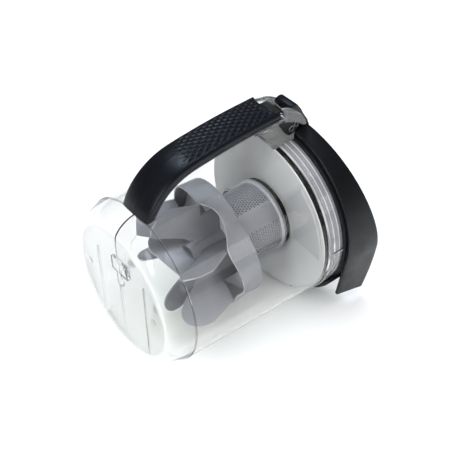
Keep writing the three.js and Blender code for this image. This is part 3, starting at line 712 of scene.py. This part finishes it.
def dimples(s, y, end):
    """The grip's staggered diamond dimples, which fade out at its edges and near end."""
    x, _ = HANDLE.at(s)
    u, v = s / DIMPLE_ALONG, y / DIMPLE_ACROSS
    a, b = abs((u + v) % 1 - 0.5) * 2, abs((u - v) % 1 - 0.5) * 2
    from_start = smooth((x - GRIP_START_X - 4 * (y / HANDLE_HALF)) / 16)
    from_sides = smooth((15.6 - abs(y)) / 2.2)
    from_end = smooth((end - s - 1.2) / 2.5)
    return -DIMPLE_DEPTH * from_start * from_sides * from_end * clamp(1.05 - max(a, b))


def upper_shell():
    flank = [(-17.3, -4.4), (-HANDLE_HALF, -4.004), (-HANDLE_HALF, -2.42)]
    crown = spline([(-HANDLE_HALF, -1.1), (-16.9, 0.25), (-14.6, 1.25), (-8, 2.4), (0, 2.9)], 20)
    outer = mirrored([*flank, *crown])
    inner = mirrored([(-15.5, -4.4), (-15.3, -1.3), (-13.6, -0.9), (-8, 0.2), (0, 0.7)])
    return swept_shell(outer, inner, 330, dimples)


def lower_shell():
    belly = spline([(-17.3, -6.3), (-15, -7.9), (-9, -10.4), (0, -11.8)], 6)
    outer = mirrored([(-16.9, -5.1), (-17.25, -5.5), *belly])
    inner = mirrored([(-14.7, -5.1), (-8, -8.2), (0, -9.5)])
    return swept_shell(outer, inner, 120)


# ---- latch ----
CHEEK = (10.7, 12.7)
BRACKET_SIDE = [(143.5, 103), (152, 103), (158.3, 104.6), (170, 105.2), (177.2, 100.2), (182, 94.2),
                (183, 90), (179.4, 87.2), (177.6, 83), (177.6, 74), (157, 74), (151, 86), (143.5, 98)]


def cup_envelope(grow):
    x0, x1 = -5, RIM_END_X + 2
    wall = [(x, r + grow) for x, r in CUP_OUTSIDE]
    return lathe([(x0, 0), (x0, BASE_R + grow), *wall, (x1, RIM_R + grow), (x1, 0)], 160)


def latch_bracket():
    side = rounded(BRACKET_SIDE, 2.5, 4)
    shape = merged(slab(side, *CHEEK, 0.4), slab(side, -CHEEK[1], -CHEEK[0], 0.4))
    half = CHEEK[1] - 0.2
    base = box(157.2, 177.4, -half, half, 72, 83.6, 0.8)
    post = box(143.8, 151.8, -half, half, 98, 103.1, 0.6)
    shape = combined(combined(shape, base, "UNION"), post, "UNION")
    return combined(shape, cup_envelope(GAP), "DIFFERENCE")


# The dark inlay on each cheek, in (x, z), and the eyelets in it: centre, inner and outer radius.
INLAY = [(160.4, 101.2), (167.8, 88.9), (172.4, 85.4), (178.4, 86.8), (182.2, 90), (181.2, 94.2),
         (176.8, 99.6), (169.6, 104.2), (162, 104)]
EYELETS = [((174.6, 91.2), 1.7, 3.1), ((180.1, 93.8), 1.9, 2.7)]


def cross_ring(centre, inner, outer, low, high):
    """A ring about an axis that runs along Y."""
    x, z = centre
    ring = lathe(rounded([(low, inner), (low, outer), (high, outer), (high, inner)], 0.08, 3), 40)
    return mapped(ring, lambda a, b, c: (x + b, a, z + c))


def cheek_inlay(side):
    low, high = sorted((side * 12.72, side * 12.95))
    return slab(rounded(INLAY, 1.6, 4), low, high, 0.08)


def cheek_eyelets(side):
    low, high = sorted((side * 12.9, side * 13.12))
    return merged(*[cross_ring(*eyelet, low, high) for eyelet in EYELETS])


BUTTON_HALF, BUTTON_WALL, BUTTON_X, BUTTON_END_X = 15, 1.8, 152, 189.2
BUTTON_TOP = spline([(BUTTON_X, 115.4), (158, 115.2), (163, 114.2), (170.2, 112.6), (177.6, 108.4),
                     (184.3, 102.4), (BUTTON_END_X, 92.8)], 6)
BUTTON_LOW = spline([(BUTTON_X, 111), (156, 108.4), (159.5, 104.6), (164.3, 103.4), (173.5, 99.6),
                     (181.5, 94.8), (186.9, 90.6), (BUTTON_END_X, 90.6)], 6)


def button_section(x):
    top = height_at(BUTTON_TOP, x)
    low = min(height_at(BUTTON_LOW, x), top - 1)
    crown = 2.4 * clamp((BUTTON_END_X - x) / 20, 0.1, 1)
    h, w = BUTTON_HALF, BUTTON_WALL
    shoulder = max(top - 1.6, low + 0.3)
    outer = [(-h + 0.25, low), (-h, low + 0.25), (-h, shoulder), (-h + 0.35, lerp(shoulder, top, 0.75)),
             (-h + 1.5, top + 0.12), (-h + 4, top + crown * 0.42)]
    inner = [(-h + w, low), (-h + w, max(top - 2.4, low + 0.15)), (-h + w + 0.7, top - w + 0.1)]
    for y, share in ((-8, 0.7), (-4, 0.93), (0, 1)):
        outer.append((y, top + crown * share))
        inner.append((y, top + crown * share - w))
    return [*mirrored(outer), *mirrored(inner)[::-1]]


def release_button():
    """The cap, cut open for the lid's spine, and rounded where the handle ends."""
    steps = 64
    rows = []
    for i in range(steps + 1):
        x = lerp(BUTTON_X, BUTTON_END_X, i / steps)
        rows.append([(x, y, z) for y, z in button_section(x)])
    slot = box(165.6, 200, -10.4, 10.4, 60, 130, 0.6)
    r = NOSE_R - 0.4
    turns = [tau * k / 160 for k in range(160)]
    nose = slab([(NOSE_X + r * cos(a), r * sin(a)) for a in turns], 60, 140, 0.4, lying)
    shape = combined(grid(rows, closed=True, ends=True), slot, "DIFFERENCE")
    return combined(shape, nose, "INTERSECT")


# ---- lid ----
def hood_rear_x(z):
    return 212 - 0.2 * z - 0.0022 * min(0, z - 10) ** 2


def hood_point(x_share, off, j, count):
    """A point of the hood, and the height of its outer face there: x_share from its front to its rear edge,
    off under its outer face, and j of count round it."""
    r = lerp(HOOD_R, HOOD_REAR_R, x_share) + HOOD_BULGE * sin(pi * clamp(x_share))
    foot = lerp(LEG_FRONT_Z, LEG_REAR_Z, x_share)
    arc = 2 * HOOD_ARC * r
    leg = hypot(LEG_HALF - r * sin(HOOD_ARC), foot - r * cos(HOOD_ARC))
    s = (arc + 2 * leg) * j / count - leg
    side = -1 if s < arc / 2 else 1
    past = -s if side < 0 else s - arc
    if past <= 0:
        a = s / r - HOOD_ARC
        y, z, ny, nz = r * sin(a), r * cos(a), sin(a), cos(a)
    else:
        t = past / leg
        hip_y, hip_z = r * sin(HOOD_ARC), r * cos(HOOD_ARC)
        ny, nz = -(foot - hip_z) / leg, (LEG_HALF - hip_y) / leg
        y, z, ny = side * lerp(hip_y, LEG_HALF, t), lerp(hip_z, foot, t), side * ny
    return y - off * ny, z - off * nz, z


def lid_hood():
    count, soft = 150, 0.8
    profile = [(0, soft), (soft * 0.3, soft * 0.3), (soft, 0)]
    loop = [(0.0, x, off) for x, off in profile] + [(t, 0, 0) for t in (0.15, 0.35, 0.55, 0.75, 0.9)]
    loop += [(1.0, -x, off) for x, off in profile[::-1]]
    loop += [(1.0, -x, HOOD_WALL - off) for x, off in profile] + [(t, 0, HOOD_WALL) for t in (0.9, 0.5, 0.1)]
    loop += [(0.0, x, HOOD_WALL - off) for x, off in profile[::-1]]
    rows = []
    for j in range(count + 1):
        row = []
        for share, shift, off in loop:
            _, _, z = hood_point(share, 0, j, count)
            width = hood_rear_x(z) - HOOD_X
            y, z_in, _ = hood_point(share + shift / width, off, j, count)
            row.append((lerp(HOOD_X, hood_rear_x(z), share) + shift, y, z_in))
        rows.append(row)
    catch_lip = box(183, 184.4, -6, 6, 83.2, 87.5, 0.3)
    return merged(grid(rows, closed=True, ends=True), catch_lip)


SPINE_SIDE = [(174.6, 100), (174.6, 108.4), (176.8, 110.8), (180.4, 111.5), (183.4, 110.8), (187.9, 104.1),
              (190.8, 97.9), (195.4, 90), (197.4, 84), (197.4, 83), (187, 83), (187, 96), (183, 100)]
SPINE_ROUNDING = [0.8, 1, 2, 3, 3, 6, 6, 4, 0.4, 0.4, 0.8, 2, 1]
SPINE_CHANNEL = [(176.8, 70), (176.8, 107.6), (180.2, 109), (182.4, 108.4), (186, 102.8), (189, 96),
                 (192.6, 89.6), (192.6, 70)]


def spine_block():
    body = slab(rounded(SPINE_SIDE, SPINE_ROUNDING, 6), -10, 10, 0.9)
    return combined(body, slab(SPINE_CHANNEL, -8, 8, 0.4), "DIFFERENCE")


def around(angle, r):
    return -r * sin(angle), r * cos(angle)


def sector(inner, outer, a0, a1, x0, x1, edge=0.3, steps=16):
    """A piece of a ring between two angles, from x0 to x1."""
    line = [around(lerp(a0, a1, k / steps), outer) for k in range(steps + 1)]
    line += [around(lerp(a1, a0, k / steps), inner) for k in range(steps + 1)]
    return slab(line, x0, x1, edge, facing)


def inlet_cut(shape, end_x):
    hole = shifted(rod(150, end_x, INLET_R + INLET_WALL + GAP, 0, 64), 0, *INLET_AT)
    return combined(shape, hole, "DIFFERENCE")


def lid_plate():
    """The lid's inner plate with its filter housing and its screw bosses."""
    x0, x1, x2, groove_x, outer = PLATE_X, PLATE_END_X, LID_END_X, 158.6, HOUSING_R + 2.2
    outline = [(x0, OUTLET_R), (x0, PLATE_R), (groove_x, PLATE_R), (groove_x, GROOVE_R), (x1, GROOVE_R),
               (x1, outer), (x2, outer), (x2, HOUSING_R), (x1, HOUSING_R), (x1, OUTLET_R)]
    shape = inlet_cut(lathe(rounded(outline, 0.4, 3), 160), 170)
    boss = rod(159, LID_END_X, 3.6, 0.3, 28)
    for angle in SCREW_ANGLES:
        y, z = SCREW_RING_R * sin(radians(angle)), SCREW_RING_R * cos(radians(angle))
        shape = combined(shape, shifted(boss, 0, y, z), "UNION")
    return shape


def lid_collar():
    x0, x1, inner = PLATE_END_X + 0.05, 162.9, COLLAR_R - 2.4
    outline = [(x0, inner), (x0, GROOVE_R), (x1, GROOVE_R), (x1, COLLAR_R), (LID_END_X, COLLAR_R),
               (LID_END_X, inner)]
    return lathe(rounded(outline, 0.3, 3), 192)


def gasket():
    """The seal in the lid's groove, with a thin lip that lies on the collar."""
    lip = tube(162.3, 164.7, COLLAR_R + 0.05, COLLAR_R + 1, 0.3)
    return merged(tube(158.9, 162.6, GROOVE_R + GAP, 76.5, 0.7), lip)


def collar_ridges():
    """Thin raised lines round the collar, inside the rim. Their pale colour is a painted highlight."""
    lines = (164.9, 169.6, 174.4)
    return merged(*[tube(x, x + 0.8, COLLAR_R - 0.6, COLLAR_R + 0.7, 0.25) for x in lines])


def swirl_ramp():
    """A raised sector on the plate, on the side towards the near wall. Its darker colour is painted shade."""
    return sector(38, 73, radians(40), radians(95), PLATE_X - GAP - 1.6, PLATE_X - 0.02, 0.5, 24)


def lid_ring():
    x0, x1, inner, step = 178.2, 190, COLLAR_R + GAP, RING_R - 2.2
    outline = [(x0, inner), (x0, RING_R), (x1, RING_R), (x1, step), (181, step), (181, inner)]
    return lathe(rounded(outline, 0.5, 3), 192)


def guide_tab(side):
    inner = RING_R + GAP
    shape = sector(inner, inner + 3.2, radians(122), radians(146), 172.5, 197, 0.5)
    return mapped(shape, lambda x, y, z: (x, -side * y, z))


def back_cover():
    disc = tube(COVER_X, COVER_END_X, OUTLET_R, RING_R - 2.5, 0.4, 160)
    lip = tube(COVER_END_X - 0.4, COVER_END_X + 1.6, HOUSING_R + 3, HOUSING_R + 5, 0.5, 128)
    ridge = tube(COVER_END_X - 0.4, COVER_END_X + 0.5, 71, 72.4, 0.3, 160)
    return merged(inlet_cut(disc, 200), lip, ridge)


def outlet_grille():
    """Spokes which widen outwards, between a hub and a ring."""
    x0, x1, ring_r = COVER_END_X + GAP, COVER_END_X + 2, 30
    line = [(-1.17, HUB_R - 1), (1.17, HUB_R - 1), (1.65, ring_r + 1), (-1.65, ring_r + 1)]
    bar = slab(line, x0 + 0.1, x1 - 0.1, 0.4, facing)
    bars = [spun(bar, tau * (k + 0.5) / SPOKES) for k in range(SPOKES)]
    return merged(rod(x0, x1, HUB_R, 0.4, 48), tube(x0, x1, ring_r, HOUSING_R + 2.6, 0.4, 96), *bars)


def inlet_duct():
    return shifted(tube(156.2, COVER_END_X + 0.8, INLET_R, INLET_R + INLET_WALL, 0.5, 72), 0, *INLET_AT)


def inlet_seal():
    outline = [(190.3, INLET_R), (190.3, INLET_R + 4.2), (192, INLET_R + 4.2), (194.2, INLET_R + 2.2),
               (194.2, INLET_R + 0.8)]
    return shifted(lathe(rounded(outline, 0.6, 4), 72), 0, *INLET_AT)


# ---- cyclone unit ----
def lobed_radius(tips, tip_r, depth, angle):
    """An edge's radius at an angle. tips is in degrees. A scallop deepens with its width squared."""
    turn = (degrees(angle) - tips[0]) % 360 + tips[0]
    ends = [*tips, tips[0] + 360]
    k = max(i for i in range(len(tips)) if ends[i] <= turn)
    width = ends[k + 1] - ends[k]
    return tip_r - depth * width ** 2 * (1 - cos(tau * (turn - ends[k]) / width)) / 2


def skirt_front_r(angle):
    return lobed_radius(FRONT_LOBES, FRONT_TIP_R, FRONT_SCALLOP, angle)


def skirt_rear_r(angle):
    return lobed_radius(REAR_LOBES, REAR_TIP_R, REAR_SCALLOP, angle)


def lobed_skirt():
    """A wall with a floor at its rear, drawn round at drawn_r and waved to the lobes."""
    drawn_r, steps = 50, 9

    def wave(x, r, a):
        t = (x - SKIRT_X) / (SKIRT_END_X - SKIRT_X)
        edge = lerp(skirt_front_r(a), skirt_rear_r(a), t)
        return r * edge / drawn_r if r < drawn_r - 10 else edge + (r - drawn_r)

    outer = [(lerp(SKIRT_X + 0.6, SKIRT_END_X - 0.8, k / steps), drawn_r) for k in range(steps + 1)]
    inner = [(lerp(SKIRT_END_X - 3.4, SKIRT_X + 0.6, k / steps), 48.2) for k in range(steps + 1)]
    lip = [(SKIRT_X + 0.15, 48.5), (SKIRT_X, 49.1), (SKIRT_X + 0.15, 49.7)]
    back = [(SKIRT_END_X - 0.25, 49.75), (SKIRT_END_X, 49.2), (SKIRT_END_X, 30), (SKIRT_END_X, 0)]
    floor = [(SKIRT_END_X - 2.2, 0), (SKIRT_END_X - 2.2, 30), (SKIRT_END_X - 2.4, 47.4)]
    return lathe([*outer, *back, *floor, *inner, *lip], 260, wave)


def vane_star():
    """Vanes and a cross web on a core. Each front edge sweeps back from a round tip to the core's nose."""
    half = VANE_WALL / 2
    nose = [(81, 0), (80.9, 1.4), (80.2, 3), (78.6, 4.8), (75, 7), (70, 8.2)]
    core = [*nose, (VANE_END_X, 9), (VANE_END_X, 0)]
    web_front = [CROSS_WEB_FRONT[0], *spline(CROSS_WEB_FRONT[1:], 4)]
    web = slab([*web_front, (SKIRT_X - 0.6, 34.4), (VANE_END_X, 30), (VANE_END_X, -19)], -half, half, 0.4)
    shape = combined(lathe(core, 48), spun(web, radians(CROSS_WEB_ANGLE)), "UNION")
    for angle, reach in VANES:
        front = spline([(x, r * reach / VANE_R) for x, r in VANE_FRONT], 5)
        rear = [(SKIRT_X - 0.6, skirt_front_r(radians(angle)) - 1.6), (SKIRT_X - 0.4, GRILLE_R + 2.5),
                (VANE_END_X, GRILLE_R + 2.5), (VANE_END_X, 0)]
        vane = slab([(80.6, 0), *front, *rear], -half, half, 0.4)
        shape = combined(shape, spun(vane, radians(angle)), "UNION")
    return shape


def perforated(r, depth, x0, x1, a0, a1):
    """A piece of a perforated tube: staggered round holes with walls that go down by depth."""
    across = max(2, round((a1 - a0) * r / HOLE_PITCH))
    along = max(2, round((x1 - x0) / (HOLE_PITCH * 0.87)))
    du, dx = (a1 - a0) / across, (x1 - x0) / along
    points, faces = [], []

    def add(x, a, q):
        points.append((x, -q * sin(a), q * cos(a)))
        return len(points) - 1

    for i in range(along):
        for j in range(across + (i % 2)):
            left = a0 + (j - 0.5 * (i % 2)) * du
            low, high = max(left, a0), min(left + du, a1)
            xa, xb = x0 + i * dx, x0 + (i + 1) * dx
            xm, am = (xa + xb) / 2, (low + high) / 2
            cell = [(xa, low), (xa, am), (xa, high), (xm, high), (xb, high), (xb, am), (xb, low), (xm, low)]
            if high - low < du * 0.9:  # a half cell at a row's end has no hole
                faces.append([add(x, a, r) for x, a in cell])
                faces.append([add(x, a, r - depth) for x, a in cell])
                continue
            hole = []
            for x, a in cell:
                off_x, off_a = x - xm, (a - am) * r
                length = hypot(off_x, off_a)
                hole.append((xm + off_x / length * HOLE_R, am + off_a / length * HOLE_R / r))
            rings = [[add(x, a, r) for x, a in cell], [add(x, a, r) for x, a in hole],
                     [add(x, a, r - depth) for x, a in hole], [add(x, a, r - depth) for x, a in cell]]
            for p, q in zip(rings, rings[1:]):
                for k in range(8):
                    faces.append([p[k], p[(k + 1) % 8], q[(k + 1) % 8], q[k]])
    return points, faces


def plain_band(r, depth, x0, x1, a0, a1):
    """A piece of a plain tube, open at its ends."""
    steps = 12
    corners = ((x0, r), (x1, r), (x1, r - depth), (x0, r - depth))
    rows = []
    for k in range(steps + 1):
        a = lerp(a0, a1, k / steps)
        rows.append([(x, -q * sin(a), q * cos(a)) for x, q in corners])
    return grid(rows, closed=True)


def grille_cylinder():
    x0, x1, r, wall = SKIRT_END_X + GAP, GRILLE_END_X, GRILLE_R, 1.2
    front = [(x0, r - 2), (x0, r + 1), (x0 + 3, r + 1), (x0 + 3.6, r), (x0 + 4.2, r), (x0 + 4.2, r - 2)]
    rear = [(x1 - 4, r - 2), (x1 - 4, r), (x1 - 3, r), (x1 - 2.4, r + 3), (x1, r + 3), (x1, r - 2)]
    shapes = [lathe(rounded(front, 0.4, 3), 144), lathe(rounded(rear, 0.4, 3), 144)]
    xa, xb = x0 + 4.1, x1 - 3.9
    zones = [(radians(a0), radians(a1)) for a0, a1 in GRILLE_ZONES]
    next_starts = [a0 for a0, _ in zones[1:]] + [zones[0][0] + tau]
    for (a0, a1), after in zip(zones, next_starts):
        shapes.append(perforated(r, wall, xa, xb, a0, a1))
        shapes.append(plain_band(r, wall, xa, xb, a1, after))
    return merged(*shapes)


def grille_ribs():
    """The grille's axial moulding ribs."""
    rib = box(SKIRT_END_X + 4, GRILLE_END_X - 2.6, -0.8, 0.8, GRILLE_R - 1, GRILLE_R + 1.1, 0.4)
    return merged(spun(rib, radians(104)), spun(rib, radians(224)))


def bayonet_collar():
    x0, x1, inner, outer = GRILLE_END_X + GAP, 162.6, 24, OUTLET_R - 0.5
    neck = [(x0, inner), (x0, 31), (154.6, 31), (154.6, outer), (x1, outer), (x1, inner)]
    lugs = [sector(25, 30, radians(120 * k - 11), radians(120 * k + 11), 160.1, x1) for k in range(3)]
    return merged(lathe(rounded(neck, 0.4, 3), 128), *[spun(lug, radians(-90)) for lug in lugs])


# ---- the pieces ----
piece("dust_cup_shell", dust_cup(), CLEAR, "cup", ["dust_cup"])
piece("handle_upper", upper_shell(), GRIP, "cup", ["handle_upper_shell"])
piece("handle_lower", lower_shell(), TRIM, "cup", ["handle_lower_shell"])
piece("latch_bracket_clear", latch_bracket(), CLEAR_BRACKET, "cup", ["latch_bracket"])
SPRING_LOW, SPRING_HIGH, PRESS = 84.6, 96.2, 3.0
spring = piece("button_coil", helix(163, SPRING_LOW, SPRING_HIGH, 2.6, 0.45, 5), STEEL, "cup",
               ["button_spring"])
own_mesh(spring)
piece("release_button_cap", release_button(), SMOKY, "button", ["release_button"])
for side, name in ((-1, "near"), (1, "far")):
    piece("cheek_inlay_" + name, cheek_inlay(side), PLAIN, "cup")
    piece("cheek_eyelets_" + name, cheek_eyelets(side), STEEL, "cup")
screws = ["handle_front_screw", "handle_rear_screw", *[f"lid_screw_{k}" for k in (1, 2, 3, 4)]]
for node in (*screws, "latch_pivot_pin", "hook_stop_pin"):
    kept(node, STEEL, 0.2)
for node in ("button_plunger", "latch_hook"):
    kept(node, PLAIN, 0.4)

piece("lid_plate_front", lid_plate(), PALE, "lid", ["lid_frame"])
piece("lid_plate_collar", lid_collar(), COLLAR, "lid")
piece("lid_collar_ridges", collar_ridges(), RIDGE_HIGHLIGHT, "lid")
piece("lid_plate_ramp", swirl_ramp(), SHADED_RAMP, "lid", ["swirl_ramp"])
piece("lid_seal_ring", gasket(), RUBBER, "lid", ["lid_gasket"])
piece("lid_lock_ring", lid_ring(), PLAIN, "lid", ["lid_ring"])
piece("lid_hood_shell", lid_hood(), HOOD, "lid", ["lid_hood"])
piece("spine_cap", spine_block(), GRIP, "lid", ["spine_block"])
for side, node in ((1, "guide_tab_left"), (-1, "guide_tab_right")):
    piece(node + "_moulded", guide_tab(side), PLAIN, "lid", [node])
piece("back_cover_plate", back_cover(), PLAIN, "lid", ["lid_back_cover"])
piece("outlet_grille_spokes", outlet_grille(), PLAIN, "lid", ["outlet_grille"])
piece("foam_filter", rod(163.6, 185.6, HOUSING_R - 1, 1.2, 96), FOAM, "lid", ["filter_foam"])
piece("inlet_tube", inlet_duct(), GREY, "lid", ["inlet_duct"])
piece("inlet_lip_seal", inlet_seal(), RUBBER, "lid", ["inlet_seal"])

piece("grille_tube", merged(grille_cylinder(), grille_ribs()), GREY, "cyclone",
      ["grille_cylinder"])
# a black sleeve inside the grille that darkens its holes: painted shade
piece("grille_shade_sleeve", tube(SKIRT_END_X + 4, GRILLE_END_X - 3, GRILLE_R - 1.7, GRILLE_R - 1.3, 0.1), PLAIN,
      "cyclone")
piece("lobed_skirt_shell", lobed_skirt(), GREY, "cyclone", ["lobed_skirt"])
piece("vane_star_blades", vane_star(), VANE, "cyclone", ["vane_star"])
piece("bayonet_neck", bayonet_collar(), GREY, "cyclone", ["bayonet_collar"])
piece("cyclone_lip_seal", tube(154.9, 156.9, OUTLET_R + 0.6, 33, 0.6, 128), RUBBER, "cyclone",
      ["cyclone_seal"])


# ---- floor, light and camera ----
def paper():
    f = Finish("pale_floor", (0.9, 0.9, 0.9), 0.9)
    f.color(f.tinted(f.noise(6, 3), (0.895, 0.895, 0.895), (0.91, 0.91, 0.91)))
    return f.bump(f.noise(900, 2), 0.00002).material


FLOOR_HALF = 6
floor = bpy.data.objects.new("floor", bpy.data.meshes.new("floor"))
corners = [(FLOOR_HALF * x, FLOOR_HALF * y, 0) for x, y in ((-1, -1), (1, -1), (1, 1), (-1, 1))]
floor.data.from_pydata(corners, [], [(0, 1, 2, 3)])
floor.data.materials.append(paper())
scene.collection.objects.link(floor)


def studio(strength, in_gloss):
    """An even pale sky, dimmer where it shows in glossy surfaces, as a studio's dark walls would be."""
    world = bpy.data.worlds.new("studio")
    world.use_nodes = True
    nodes, links = world.node_tree.nodes, world.node_tree.links
    path, dimmer = nodes.new("ShaderNodeLightPath"), nodes.new("ShaderNodeMapRange")
    dimmer.inputs["To Min"].default_value, dimmer.inputs["To Max"].default_value = strength, in_gloss
    links.new(path.outputs["Is Glossy Ray"], dimmer.inputs["Value"])
    links.new(dimmer.outputs[0], nodes["Background"].inputs["Strength"])
    nodes["Background"].inputs["Color"].default_value = (0.93, 0.96, 1, 1)
    return world


scene.world = studio(0.6, 0.14)

centre = (cad_box[0] + cad_box[1]) / 2


def softbox(name, place, size, power, color=(1, 1, 1), in_gloss=True):
    """An area lamp, at place from the bin's middle in metres."""
    light = bpy.data.lights.new(name, "AREA")
    light.shape, light.size, light.size_y = "RECTANGLE", *size
    light.energy, light.color = power, color
    obj = bpy.data.objects.new(name, light)
    obj.location = centre + Vector(place)
    obj.rotation_euler = (-Vector(place)).to_track_quat("-Z", "Y").to_euler()
    obj.visible_glossy = in_gloss
    scene.collection.objects.link(obj)


softbox("top_light", (0.0, 0.0, 1.5), (2.0, 2.0), 24, in_gloss=False)
softbox("grip_light", (0.15, 0.75, 1.5), (0.5, 0.5), 6, (0.72, 0.83, 1))
softbox("left_light", (-1.2, -0.35, 0.75), (0.35, 0.9), 7, (0.93, 0.97, 1))
softbox("front_light", (0.25, -1.3, 0.5), (0.9, 0.5), 6, in_gloss=False)

VIEW_TURN, VIEW_RISE = radians(-38.41), radians(40.89)
FROM_BASE = 0.08677, 0.05539, 0.913  # right, up and back from the middle of the cup's base, in metres
back = Vector((sin(VIEW_TURN) * cos(VIEW_RISE), -cos(VIEW_TURN) * cos(VIEW_RISE), sin(VIEW_RISE)))
right = Vector((cos(VIEW_TURN), sin(VIEW_TURN), 0))
up = back.cross(right)
camera = bpy.data.objects.new("camera", bpy.data.cameras.new("camera"))
camera.data.lens, camera.data.sensor_width = 88, 36
camera.rotation_mode = "QUATERNION"
camera.rotation_quaternion = Matrix((right, up, back)).transposed().to_quaternion()
camera.location = BASE + right * FROM_BASE[0] + up * FROM_BASE[1] + back * FROM_BASE[2]
scene.collection.objects.link(camera)
scene.camera = camera
scene.view_settings.view_transform = "Standard"
scene.cycles.transparent_max_bounces = 24
